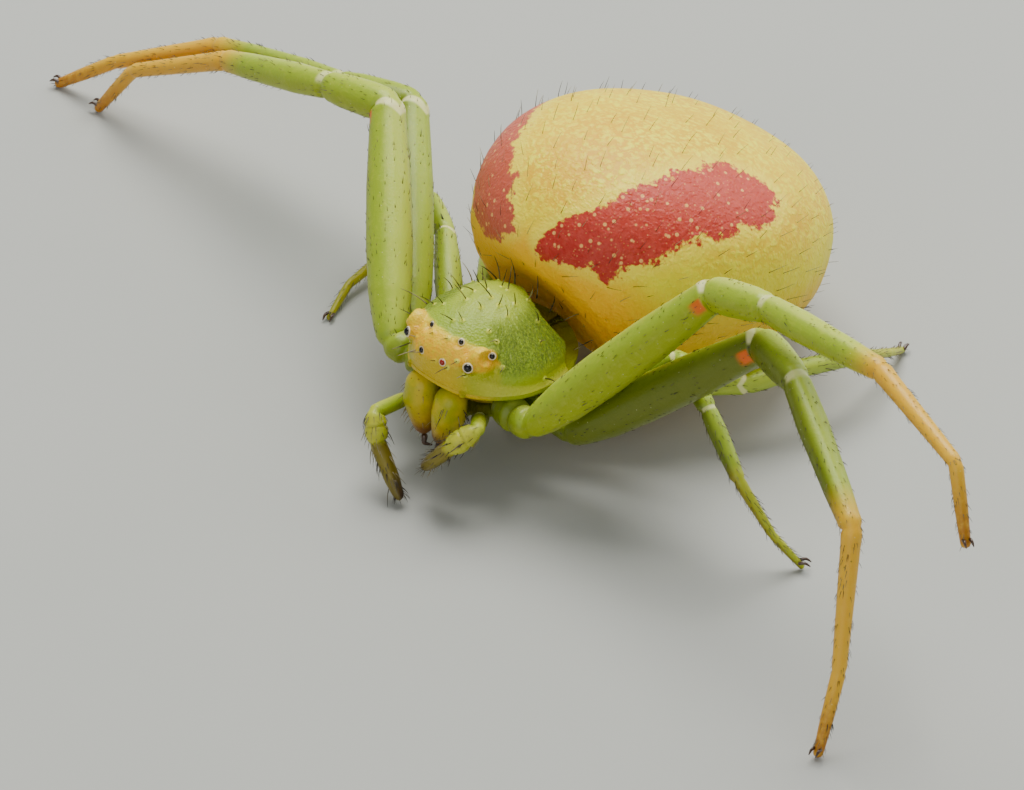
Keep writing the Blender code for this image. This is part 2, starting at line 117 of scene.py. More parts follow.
# Outline of the gilt eye field, left and rear, then carried past the middle and the face
EYE_FIELD = (
    (0.9, 0.48), (0.78, 0.53), (0.64, 0.49), (0.5, 0.4), (0.4, 0.33), (0.28, 0.29), (0.15, 0.23),
    (-0.9, 0.2), (-0.9, -0.9), (0.92, -0.9),
)

# Bristles of the shield: left, rear and length
SHIELD_BRISTLES = (
    (0.08, 0.51, 0.24), (0.44, 0.66, 0.2), (0.6, 0.66, 0.22), (0.11, 0.84, 0.28), (0.08, 1.07, 0.32),
    (0.24, 1.05, 0.3), (0.43, 1.03, 0.26), (0.33, 1.28, 0.3), (0.64, 1.41, 0.3), (0.07, 1.4, 0.32),
    (0.32, 1.54, 0.38), (0.22, 1.81, 0.36), (0.49, 1.79, 0.4), (0.51, 2.06, 0.34), (0.86, 1.23, 0.28),
    (0.83, 0.54, 0.2), (0.93, 1.84, 0.4), (1.14, 1.06, 0.38), (0.1, -0.06, 0.16), (0.54, 0.09, 0.3),
    (0.3, -0.03, 0.3), (0.12, 0.2, 0.12), (0.38, 0.1, 0.14),
)

# Abdomen
ABDOMEN_MIDDLE = (0.0, 4.32, EYE_HEIGHT)
ABDOMEN_RADII = (2.42, 2.72, 1.67)
ABDOMEN_POWER = 2.3
ABDOMEN_TAPER = 0.17
ABDOMEN_TILT = math.radians(-15.5)
ABDOMEN_OVERHANG = 0.9
OVERHANG_WIDTH = 1.3
OVERHANG_TOP = EYE_HEIGHT + 1.1
OVERHANG_DEPTH = 1.8
ABDOMEN_GRID = (210, 380)
FOLDS = 70
FOLD_DEPTH = 0.006
CHART_SCALE = 7.5

# Legs, front to rear
LEG_ROOT = {1: (1.38, 0.54, 1.33), 2: (1.58, 1.12, 1.0), 3: (1.36, 1.72, 0.97), 4: (1.1, 2.16, 1.12)}
LEG_RADIUS = {1: 0.33, 2: 0.33, 3: 0.2, 4: 0.2}
LEG_LENGTHS = {
    1: (3.65, 1.18, 2.48, 2.03, 1.2),
    2: (3.85, 1.22, 2.54, 2.04, 1.25),
    3: (1.9, 0.86, 1.1, 0.95, 0.7),
    4: (2.05, 0.72, 1.15, 1.0, 0.65),
}
COXA_ROOT = {1: (0.55, 0.73), 2: (0.68, 1.09), 3: (0.66, 1.41), 4: (0.5, 1.65)}
COXA_ROOT_HEIGHT = EYE_HEIGHT - 0.92
COXA_RADIUS = {1: 0.24, 2: 0.17, 3: 0.15, 4: 0.15}
LEG_HEADINGS = {
    "L1": (35, -6, -8, -17, -25),
    "L2": (19, -25, -28, -58, -79),
    "L3": (20, -17, -18, 26, 37),
    "L4": (46, 66, 78, 104, 112),
    "R1": (44, -2, 5, -6, -10),
    "R2": (45, -13, -1, -13, -17),
    "R3": (42, 30, -40, -95, -110),
    "R4": (48, 66, 76, 100, 108),
}
LEG_SLOPES = {
    "L1": (46, 20, 10, -5, -68),
    "L2": (41, 11, -16, -70),
    "L3": (44, -23, -33, -59),
    "L4": (-3, 5, -12, -30),
    "R1": (28, -11, -20, -29),
    "R2": (21, -5, -13, -28),
    "R3": (7, 0, -60, -5),
    "R4": (-4, 4, -10, -30),
}
# Half width by station: 1 is the femur's root, 2 the knee, then the patella's, tibia's and
# metatarsus' ends, and 6 the tip of the foot
LEG_PROFILE = (
    (1.0, 0.55), (1.07, 0.74), (1.2, 0.93), (1.4, 1.0), (1.65, 0.96), (1.85, 0.84), (2.0, 0.74),
    (2.3, 0.79), (2.72, 0.74), (3.0, 0.6), (3.1, 0.62), (3.3, 0.67), (3.75, 0.58), (4.0, 0.47),
    (4.12, 0.42), (4.6, 0.36), (5.0, 0.31), (5.55, 0.28), (5.88, 0.23), (6.0, 0.2),
)
COXA_PROFILE = ((0.0, 0.7), (0.3, 1.0), (0.52, 0.98), (0.62, 0.84), (0.75, 0.98), (0.9, 0.86))
LEG_END = 6
# How much painted shade darkens a leg's sides, and how pale its top is: partly the leg's own paler tone and
# partly painted highlight, set leg by leg
LEG_PAINTED_SHADE = {"L2": 0.85, "R2": 0.5, "L3": 0.8, "R3": 0.3, "L4": 0.3, "R4": 0.3}
LEG_PALE_TOP_AND_HIGHLIGHT = {"L1": 1.0, "R1": 0.7, "L2": 0.4, "R2": 0.2, "L3": 0.05}
LEG_STEP = 0.03
LEG_COLUMNS = (36, 28)
CLAW_LENGTH = 0.17
CLAW_RADIUS = 0.022
CLAW_SPREAD = 0.036
CLAW_BACK = 0.12
CLAW_RISE = 0.035
CLAW_DROP = 0.06
CLAW_PROFILE = ((0, 1.3), (1, 1.0), (1.6, 0.7), (2, 0.25))

# Palps: the ends of their lengths, and half widths by station
PALP_POINTS = {
    "L": ((0.62, 0.3, 1.2), (0.97, -0.1, 1.39), (0.75, -0.41, 1.13), (0.27, -0.46, 0.55)),
    "R": ((-0.7, 0.28, 0.88), (-0.6, -0.54, 1.09), (-0.42, -0.66, 0.73), (0.16, -0.79, 0.1)),
}
PALP_PROFILE = (
    (0, 0.075), (0.3, 0.105), (0.8, 0.11), (1, 0.1), (1.12, 0.135), (1.4, 0.16), (1.75, 0.165),
    (2, 0.115), (2.2, 0.12), (2.65, 0.11), (2.92, 0.075), (3, 0.04),
)
PALP_PARTS = ("femur", "tibia", "tarsus")
PALP_COLUMNS = 30
FINE_STEP = 0.012

# Jaws, mouth, breast plate, waist and spinnerets
JAW_TOP = (0.29, 0.11, EYE_HEIGHT - 0.45)
JAW_BEND = (0.275, 0.04, EYE_HEIGHT - 0.9)
JAW_TIP = (0.15, -0.01, EYE_HEIGHT - 1.42)
JAW_PROFILE = ((0, 0.2), (0.5, 0.235), (1, 0.25), (1.35, 0.21), (1.75, 0.15), (2, 0.08))
JAW_COLUMNS = 40
FANG_BEND = (0.12, -0.06, EYE_HEIGHT - 1.55)
FANG_TIP = (0.06, 0.05, EYE_HEIGHT - 1.61)
FANG_PROFILE = ((0, 0.06), (0.5, 0.045), (1, 0.035), (2, 0.01))

# Red bands, as outlines on the abdomen's map: shares of a half turn from the top, left and rear
BAND_LEFT = (
    (0.03, -0.435), (0.07, -0.365), (0.125, -0.25), (0.14, -0.16), (0.147, -0.03), (0.205, 0.03),
    (0.26, 0.045), (0.3, 0.0), (0.305, -0.1), (0.285, -0.27), (0.24, -0.4), (0.16, -0.435), (0.045, -0.458),
)
BAND_RIGHT = (
    (-0.045, -0.44), (-0.085, -0.385), (-0.13, -0.295), (-0.175, -0.23), (-0.203, -0.17), (-0.25, -0.08),
    (-0.29, 0.0), (-0.35, 0.0), (-0.37, -0.12), (-0.34, -0.28), (-0.29, -0.42), (-0.2, -0.485),
    (-0.1, -0.48),
)

# Tones of the shield and the face, with a painted highlight for the tubercles' tops
SHIELD_SHADE = (0.06, 0.12, 0.012)
STROKE_PALE = (0.44, 0.52, 0.13)
STROKE_DARK = (0.04, 0.075, 0.01)
SHIELD_SPECK = (0.1, 0.15, 0.015)
SHIELD_LOW = (0.42, 0.46, 0.01)
CHEEK = (0.4, 0.42, 0.008)
CHEEK_FLECK = (0.75, 0.66, 0.08)
GILT_SHEEN = (0.78, 0.54, 0.006)
GILT_TOP_HIGHLIGHT = (0.92, 0.67, 0.02)
GILT_FLECK = (0.5, 0.2, 0.005)
GILT_YELLOW = (0.8, 0.66, 0.01)
GILT_HEM = (0.85, 0.76, 0.05)
RIM_RIDGE = (0.6, 0.6, 0.06)
BRISTLE_BUMP = (0.66, 0.72, 0.08)
RING_SHADE = (0.7, 0.5, 0.2)

# Tones of the abdomen and its bands
TAN_PALE = (0.9, 0.63, 0.015)
TAN_CENTRE = (0.8, 0.42, 0.015)
FLANK_STREAK = (0.95, 0.85, 0.015)
FLANK_SPECK = (0.98, 0.9, 0.06)
FLANK_LOW = (0.85, 0.48, 0.002)
AMBER_UPPER = (1.0, 0.52, 0.004)
AMBER_FLECK = (1.0, 0.62, 0.03)
BAND_HEM = (1.0, 0.8, 0.06)
BAND_FLECK = (0.62, 0.08, 0.05)
BAND_UPPER = (0.64, 0.14, 0.09)
BAND_DEEP = (0.42, 0.008, 0.004)
BAND_RIGHT_TONE = (0.62, 0.2, 0.11)
BAND_DOT = (0.95, 0.55, 0.16)

# Tones of the legs, with painted shade and painted highlights among them
LEG_FLECK = (0.5, 0.52, 0.06)
PAINTED_LEG_SHADE_TONE = (0.09, 0.11, 0.002)
COXA_PAINTED_SHADE = (0.11, 0.14, 0.008)
KNEE_HIGHLIGHT = (0.85, 0.82, 0.42)
TIBIA_RING = (0.8, 0.78, 0.4)
FOOT_TIP = (0.42, 0.17, 0.006)
FOOT_FLECK = (0.74, 0.44, 0.03)
FOOT_BELOW = (0.45, 0.16, 0.002)
LEG_DOT = (0.07, 0.1, 0.015)
LEG_PALE_DOT = (0.7, 0.75, 0.4)
HORN_PALE = (0.09, 0.035, 0.012)

# Tones of the palps, jaws, underside and bristles
PALP_TOP = (0.52, 0.55, 0.05)
PALP_TIBIA = (0.5, 0.42, 0.02)
PALP_OLIVE = (0.13, 0.1, 0.003)
PALP_TIP = (0.04, 0.018, 0.003)
PALP_OLIVE_TOP = (0.36, 0.3, 0.03)
PALP_FLECK = (0.1, 0.08, 0.006)
JAW_GOLD = (0.55, 0.43, 0.004)
JAW_GREEN = (0.36, 0.36, 0.004)
JAW_BROWN = (0.12, 0.035, 0.003)
JAW_DOT = (0.14, 0.05, 0.003)
UNDER_GREEN = (0.16, 0.18, 0.006)
UNDER_FLECK = (0.3, 0.25, 0.02)
BRISTLE_PALE = (0.5, 0.42, 0.2)
FLOOR_DARK = (0.4, 0.42, 0.39)
FLOOR_PALE = (0.44, 0.45, 0.42)

# Stage: half the floor's side, and each light's way, power, width and colour
FLOOR_HALF = 0.4
PIXELS_PER_MM = 72.5
EYES_FROM_CENTRE = (79.6, 39.0)
SENSOR_WIDTH = 36.0
CLIP = (0.01, 10.0)
LIGHT_AIM = (0.0, 0.0, 0.0015)
LIGHT_DISTANCE = 0.11
LIGHTS = {
    "key": ((-0.3, 0.35, 1.0), "key_power", 0.08, (1.0, 0.98, 0.94)),
    "fill": ((0.5, -1.0, 0.45), "fill_power", 0.1, (1.0, 0.99, 0.96)),
    "back": ((0.2, 1.0, 0.6), "fill_power", 0.08, (1.0, 1.0, 1.0)),
}
WORLD_COLOUR = (0.95, 0.97, 1.0, 1.0)
WORLD_STRENGTH = 0.26

middle_eyes = [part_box(f"eye_front_middle_{letter}") for letter in SIDES]
EYE_MIDPOINT = np.mean([np.array(corner) for box in middle_eyes for corner in box], axis=0)
SHIFT = EYE_MIDPOINT / MM - (0.0, 0.0, EYE_HEIGHT)


def colour_setting(name, description, default):
    return FloatVectorProperty(name=name, description=description, subtype="COLOR", size=3,
                               min=0.0, max=1.0, default=default)


class SpiderColours(PropertyGroup):
    """Colours of the skins and of what grows on them."""

    carapace: colour_setting("Carapace", "Green of the head's shield", (0.3, 0.42, 0.02))
    # Pale top of the shield: partly its own paler green and partly painted highlight
    carapace_pale_and_highlight: colour_setting("Carapace ridge", "Paler green along its top", (0.4, 0.5, 0.035))
    eye_field: colour_setting("Eye field", "Gold of the mounds round the eyes", (0.84, 0.43, 0.004))
    face: colour_setting("Face", "Golden yellow below the eyes", (0.6, 0.43, 0.002))
    leg: colour_setting("Leg", "Green of the upper legs", (0.3, 0.41, 0.02))
    # Paler top of a leg: partly its own tone and partly painted highlight
    leg_top_and_highlight: colour_setting("Leg top", "Paler green along the top of a leg", (0.5, 0.6, 0.07))
    leg_below: colour_setting("Leg underside", "Yellow green under a leg", (0.3, 0.36, 0.0))
    foot: colour_setting("Foot", "Ochre of the outer legs", (0.74, 0.42, 0.018))
    knee: colour_setting("Knee spot", "Orange spot under the knee", (0.75, 0.12, 0.0))
    abdomen: colour_setting("Abdomen", "Tan of its top", (0.82, 0.51, 0.01))
    cells: colour_setting("Cells", "Bright yellow grains under the skin", (1.0, 0.87, 0.04))
    flank: colour_setting("Flank", "Green yellow of the sides", (0.9, 0.78, 0.008))
    # Orange of the low front, brighter than its own tone: painted bounce light from below
    amber: colour_setting("Amber", "Orange of the low front", (1.0, 0.44, 0.006))
    band: colour_setting("Band", "Raspberry red of the two bands", (0.5, 0.025, 0.012))
    jaw: colour_setting("Jaw tip", "Amber of the jaws' ends", (0.42, 0.27, 0.002))
    horn: colour_setting("Claw", "Dark brown of claws, fangs and bristles", (0.02, 0.012, 0.006))
    lens: colour_setting("Lens", "Black of the eyes", (0.004, 0.003, 0.003))
    # Painted red shine in the left front middle eye; the right one stays black
    painted_red_eye_shine: colour_setting("Shining lens", "Dark red of the left middle eye", (0.34, 0.012, 0.003))
    lens_ring: colour_setting("Eye ring", "Pale ring round an eye", (0.95, 0.9, 0.7))


class SpiderSizes(PropertyGroup):
    """Lengths and numbers of the bristles."""

    shield_bristle: FloatProperty(
        name="Shield bristles", description="Scale of the carapace's bristles", subtype="FACTOR",
        min=0.1, max=3.0, default=1.2)
    abdomen_bristle: FloatProperty(
        name="Abdomen bristle", description="Usual bristle of the abdomen", subtype="DISTANCE",
        unit="LENGTH", min=0.0001, default=0.24 * MM)
    leg_hair: FloatProperty(
        name="Leg hair", description="Usual short hair of a leg", subtype="DISTANCE",
        unit="LENGTH", min=0.00005, default=0.1 * MM)
    abdomen_count: IntProperty(
        name="Abdomen bristles", description="Bristles on the abdomen", min=1, default=420)
    leg_count: IntProperty(
        name="Leg hairs", description="Short hairs on each foreleg", min=1, default=620)
    palp_count: IntProperty(
        name="Palp hairs", description="Bristles on each palp", min=3, default=110)


class SpiderStage(PropertyGroup):
    """Camera and lights."""

    azimuth: FloatProperty(
        name="Azimuth", description="Turn of the camera round the spider", subtype="ANGLE",
        unit="ROTATION", default=math.radians(45))
    elevation: FloatProperty(
        name="Elevation", description="Height of the camera over the floor", subtype="ANGLE",
        unit="ROTATION", default=math.radians(37.5))
    distance: FloatProperty(
        name="Distance", description="Camera to the front middle eyes", subtype="DISTANCE",
        unit="LENGTH", default=0.15)
    view_width: FloatProperty(
        name="View width", description="Width of the view at the eyes", subtype="DISTANCE",
        unit="LENGTH", default=14.12 * MM)
    key_power: FloatProperty(
        name="Key light", description="Power of the main soft light", subtype="POWER",
        unit="POWER", default=0.2)
    fill_power: FloatProperty(
        name="Fill light", description="Power of the soft light opposite", subtype="POWER",
        unit="POWER", default=0.05)


class Value:
    """An output socket of a material. Sums with it become Math nodes."""

    def __init__(self, look, socket):
        self.look = look
        self.socket = socket

    def with_math(self, operation, first, second):
        return self.look.node("ShaderNodeMath", {"operation": operation}, {0: first, 1: second})

    def __add__(self, other):
        return self.with_math("ADD", self, other)

    def __radd__(self, other):
        return self.with_math("ADD", other, self)

    def __sub__(self, other):
        return self.with_math("SUBTRACT", self, other)

    def __rsub__(self, other):
        return self.with_math("SUBTRACT", other, self)

    def __mul__(self, other):
        return self.with_math("MULTIPLY", self, other)

    def __rmul__(self, other):
        return self.with_math("MULTIPLY", other, self)

    def over(self, other):
        """The greater of the two."""
        return self.with_math("MAXIMUM", self, other)


class Look:
    """A material with a Principled shader, and one way to add any node to it."""

    def __init__(self, name, **fixed):
        self.material = bpy.data.materials.new(name)
        self.material.use_nodes = True
        self.tree = self.material.node_tree
        self.shader = self.tree.nodes["Principled BSDF"]
        for key, value in fixed.items():
            self.feed(self.shader.inputs[key.replace("_", " ").title().replace("Ior", "IOR")], value)

    def feed(self, socket, value):
        if isinstance(value, Value):
            self.tree.links.new(value.socket, socket)
        elif socket.type == "RGBA":
            socket.default_value = (*value[:3], 1.0)
        else:
            socket.default_value = value

    def node(self, kind, settings=None, values=None, out=0):
        """Adds a node, sets it up, feeds its sockets, and gives one of its outputs."""
        made = self.tree.nodes.new(kind)
        for key, setting in (settings or {}).items():
            if key == "stops":
                self.set_stops(made.color_ramp, setting)
            else:
                setattr(made, key, setting)
        for key, value in (values or {}).items():
            self.feed(made.inputs[key], value)
        return Value(self, made.outputs[out])

    def set_stops(self, ramp, stops):
        while len(ramp.elements) < len(stops):
            ramp.elements.new(0.5)
        for element, (position, colour) in zip(ramp.elements, stops):
            element.position = position
            element.color = (*colour, 1.0)

    def place(self):
        """Object coordinates in millimetres."""
        metres = self.node("ShaderNodeTexCoord", out="Object")
        return self.node("ShaderNodeVectorMath", {"operation": "SCALE"}, {0: metres, "Scale": 1 / MM})

    def stretched(self, vector, scale):
        return self.node("ShaderNodeVectorMath", {"operation": "MULTIPLY"}, {0: vector, 1: scale})

    def absolute(self, value):
        return self.node("ShaderNodeMath", {"operation": "ABSOLUTE"}, {0: value})

    def vector(self, x, y, z):
        return self.node("ShaderNodeCombineXYZ", {}, {0: x, 1: y, 2: z})

    def parts(self, vector):
        """The three numbers of a vector."""
        split = self.tree.nodes.new("ShaderNodeSeparateXYZ")
        self.feed(split.inputs[0], vector)
        return [Value(self, output) for output in split.outputs]

    def carried(self, name, out="Fac"):
        """A value that the mesh carries at each point."""
        return self.node("ShaderNodeAttribute", {"attribute_name": name}, out=out)

    def noise(self, vector, scale, detail=2.0, roughness=0.5, distortion=0.0):
        values = {"Vector": vector, "Scale": scale, "Detail": detail, "Roughness": roughness,
                  "Distortion": distortion}
        return self.node("ShaderNodeTexNoise", {}, values)

    def noise_ways(self, vector, scale):
        """A random way about (0.5, 0.5, 0.5) at each place."""
        values = {"Vector": vector, "Scale": scale, "Detail": 2.0}
        return self.node("ShaderNodeTexNoise", {}, values, "Color")

    def cells(self, vector, scale, feature="F1"):
        """Distance to the middle of the nearest of many scattered cells."""
        values = {"Vector": vector, "Scale": scale}
        return self.node("ShaderNodeTexVoronoi", {"feature": feature}, values, "Distance")

    def step(self, value, low, high):
        """0 below low, 1 above high, and smooth between. Low may be the greater."""
        values = {"Value": value, "From Min": low, "From Max": high}
        return self.node("ShaderNodeMapRange", {"interpolation_type": "SMOOTHSTEP"}, values)

    def mix(self, factor, first, second):
        values = {0: factor, 6: first, 7: second}
        return self.node("ShaderNodeMix", {"data_type": "RGBA"}, values, out=2)

    def bump(self, height, depth, strength=1.0):
        """Depth is in millimetres for a height of one."""
        values = {"Height": height, "Distance": depth * MM, "Strength": strength}
        return self.node("ShaderNodeBump", {}, values)

    def finish(self, **varying):
        for key, value in varying.items():
            self.feed(self.shader.inputs[key.replace("_", " ").title()], value)
        return self.material


def unit(vectors):
    vectors = np.asarray(vectors, float)
    return vectors / np.maximum(np.linalg.norm(vectors, axis=-1, keepdims=True), 1e-12)


def smooth_step(value):
    share = np.clip(value, 0.0, 1.0)
    return share * share * (3 - 2 * share)


def bell(distance, width):
    return np.exp(-((distance / width) ** 2))


def mirrored(point, side):
    return np.array(point, float) * (side, 1, 1)


def finished_mesh(name, points, faces, maps, values, look):
    """A mesh object in the row's frame, from faces of three or four points, riding on the body.

    Faces is a list of index arrays, maps gives each UV map as arrays of the same shapes, and
    values gives each number or vector that the points carry.
    """
    mesh = bpy.data.meshes.new(name)
    loops = np.concatenate([group.ravel() for group in faces]).astype(np.int32)
    sizes = np.concatenate([np.full(len(group), group.shape[1]) for group in faces])
    starts = np.concatenate([[0], np.cumsum(sizes)[:-1]]).astype(np.int32)
    mesh.vertices.add(len(points))
    mesh.vertices.foreach_set("co", ((points + SHIFT) * MM).astype(np.float32).ravel())
    mesh.loops.add(len(loops))
    mesh.loops.foreach_set("vertex_index", loops)
    mesh.polygons.add(len(sizes))
    mesh.polygons.foreach_set("loop_start", starts)
    for map_name, groups in maps.items():
        layer = mesh.uv_layers.new(name=map_name)
        flat = np.concatenate([group.reshape(-1, 2) for group in groups]).astype(np.float32)
        layer.uv.foreach_set("vector", flat.ravel())
    for value_name, numbers in values.items():
        vector = numbers.ndim == 2
        carried = mesh.attributes.new(value_name, "FLOAT_VECTOR" if vector else "FLOAT", "POINT")
        carried.data.foreach_set("vector" if vector else "value", numbers.astype(np.float32).ravel())
    mesh.update(calc_edges=True)
    mesh.validate()
    mesh.shade_smooth()
    mesh.materials.append(look)
    made = bpy.data.objects.new(name, mesh)
    bpy.context.scene.collection.objects.link(made)
    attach(made, BODY)
    return made


def grid_faces(rows, columns):
    """Faces of a closed surface of rings with a fan to a pole at each end, and their map.

    Corner (row, column) is point row * columns + column, and the two poles come last. On the
    map u runs once round and v from the first pole to the last.
    """
    row, column = [part.ravel() for part in np.mgrid[0:rows - 1, 0:columns]]
    after = (column + 1) % columns
    quads = np.stack([row * columns + column, row * columns + after,
                      (row + 1) * columns + after, (row + 1) * columns + column], 1)
    corner_u = np.stack([column, column + 1, column + 1, column], 1) / columns
    corner_v = (np.stack([row, row, row + 1, row + 1], 1) + 1) / (rows + 1)
    around = np.arange(columns)
    after = (around + 1) % columns
    first = np.stack([np.full(columns, rows * columns), after, around], 1)
    last_row = (rows - 1) * columns
    last = np.stack([np.full(columns, rows * columns + 1), last_row + around, last_row + after], 1)
    fan_u = np.stack([around + 0.5, around + 1, around], 1) / columns
    edge = np.full(columns, 1 / (rows + 1))
    first_map = np.stack([fan_u, np.stack([edge * 0, edge, edge], 1)], 2)
    fan_u = np.stack([around + 0.5, around, around + 1], 1) / columns
    last_map = np.stack([fan_u, np.stack([edge * 0 + 1, 1 - edge, 1 - edge], 1)], 2)
    quad_map = np.stack([corner_u, corner_v], 2)
    return [quads, np.concatenate([first, last])], [quad_map, np.concatenate([first_map, last_map])]


def closed_skin(name, rings, look, values=None):
    """One closed surface through rings (rows, columns, 3). Each end's pole is its ring's mean."""
    rows, columns = rings.shape[:2]
    points = np.concatenate([rings.reshape(-1, 3), rings[[0, -1]].mean(axis=1)])
    faces, maps = grid_faces(rows, columns)
    a, b, c, d = [rings.reshape(-1, 3)[faces[0][:, corner]] for corner in range(4)]
    volume = np.einsum("ij,ij->", a, np.cross(b, c)) + np.einsum("ij,ij->", a, np.cross(c, d))
    if volume < 0:
        faces = [group[:, ::-1] for group in faces]
        maps = [group[:, ::-1] for group in maps]
    carried = {}
    for key, numbers in (values or {}).items():
        flat = numbers.reshape(rows * columns, *numbers.shape[2:])
        tips = numbers[[0, -1]].mean(axis=1)
        carried[key] = np.concatenate([flat, tips])
    return finished_mesh(name, points, faces, {"Skin": maps}, carried, look)


def soft_path(points, step, softness):
    """Even steps along straight lengths, with each bend drawn round by a running mean.

    Gives the places, the distance along, and the station, which is the number of the point
    just passed plus the share of the length walked since.
    """
    points = np.asarray(points, float)
    lengths = np.linalg.norm(np.diff(points, axis=0), axis=1)
    marks = np.concatenate([[0.0], np.cumsum(lengths)])
    along = np.linspace(0.0, marks[-1], int(marks[-1] / step) + 1)
    places = np.stack([np.interp(along, marks, points[:, axis]) for axis in range(3)], 1)
    station = np.interp(along, marks, np.arange(len(points)))
    return running_mean(places, max(int(softness / step), 1)), along, station, marks


def running_mean(values, reach):
    """A weighted mean over the neighbours on each side, with both ends kept in place."""
    weights = np.hanning(2 * reach + 3)[1:-1]
    weights = weights / weights.sum()
    table = values.reshape(len(values), -1)
    before = 2 * table[0] - table[reach:0:-1]
    after = 2 * table[-1] - table[-2:-reach - 2:-1]
    padded = np.concatenate([before, table, after])
    soft = np.stack([np.convolve(column, weights, "valid") for column in padded.T], 1)
    return soft.reshape(values.shape)


def limb_form(points, profile, step, softness, grooves, up_hint=(0.0, 0.0, 1.0)):
    """Centre line, half width and cross directions of a limb.

    The half width follows the profile's stations, and each groove (station, depth, width)
    takes a bell's depth off it and adds a low collar before. A circle's two directions are
    across the limb's own plane and at right angles to it. Both ends close as half rounds.
    """
    centre, along, station, marks = soft_path(points, step, softness)
    shares = np.array(profile)
    radius = running_mean(np.interp(station, shares[:, 0], shares[:, 1]), max(int(0.05 / step), 1))
    for at, depth, width in grooves:
        mark = np.interp(at, np.arange(len(marks)), marks)
        radius = radius * (1 - depth * bell(along - mark, width))
        radius = radius * (1 + 0.35 * depth * bell(along - mark + 2.2 * width, 1.2 * width))
    for distance in (along, along[-1] - along):
        end = radius[0] if distance is along else radius[-1]
        short = np.clip(distance / end, 0.0, 1.0)
        radius = radius * np.sqrt(np.maximum(1 - (1 - short) ** 2, 0.003))
    tangent = unit(np.gradient(centre, axis=0))
    spread = centre - centre.mean(axis=0)
    normal = np.linalg.svd(spread, full_matrices=False)[2][2]
    side = unit(normal - (tangent @ normal)[:, None] * tangent)
    up = np.cross(side, tangent)
    if (up @ np.asarray(up_hint)).mean() < 0:
        side, up = -side, -up
    return {"centre": centre, "along": along, "station": station, "marks": marks, "radius": radius,
            "tangent": tangent, "side": side, "up": up}


def limb_rings(form, columns):
    """Circles round the centre line. Column 0 is underneath, and half way round is on top."""
    angle = np.arange(columns) * TAU / columns - math.pi
    spokes = (np.cos(angle)[None, :, None] * form["up"][:, None]
              + np.sin(angle)[None, :, None] * form["side"][:, None])
    return form["centre"][:, None] + form["radius"][:, None, None] * spokes


def on_limb(form, along, angle):
    """Surface points, outward ways and forward ways at distances along and angles from the top."""
    def at(key):
        table = form[key]
        return np.stack([np.interp(along, form["along"], table[:, axis]) for axis in range(3)], 1)

    out = np.cos(angle)[:, None] * at("up") + np.sin(angle)[:, None] * at("side")
    radius = np.interp(along, form["along"], form["radius"])
    return at("centre") + radius[:, None] * out, unit(out), unit(at("tangent"))


def leg_points(leg):
    """The coxa's root, the femur's root and the five ends that follow it."""
    side = SIDES[leg[0]]
    pair = int(leg[1])
    coxa_x, coxa_y = COXA_ROOT[pair]
    points = [mirrored((coxa_x, coxa_y, COXA_ROOT_HEIGHT), side), mirrored(LEG_ROOT[pair], side)]
    slopes = [math.radians(slope) for slope in LEG_SLOPES[leg]]
    for index, (length, heading) in enumerate(zip(LEG_LENGTHS[pair], LEG_HEADINGS[leg])):
        if index < len(slopes):
            slope = slopes[index]
        else:
            slope = -math.asin(points[-1][2] / length)
        turn = math.radians(heading)
        way = (side * math.cos(turn) * math.cos(slope), math.sin(turn) * math.cos(slope), math.sin(slope))
        points.append(points[-1] + length * np.array(way))
    return points


def leg_form(leg):
    """The limb form of a leg from the coxa to the foot, grooved at its joints."""
    pair = int(leg[1])
    radius = LEG_RADIUS[pair]
    profile = [(station, share * COXA_RADIUS[pair]) for station, share in COXA_PROFILE]
    profile += [(station, share * radius) for station, share in LEG_PROFILE]
    width = 0.1 * radius + 0.012
    grooves = ((0.62, 0.2, width), (1.0, 0.16, width), (2.0, 0.1, width), (3.0, 0.09, width),
               (4.0, 0.12, width), (5.0, 0.08, width))
    return limb_form(leg_points(leg), profile, LEG_STEP, 0.55 * radius, grooves)


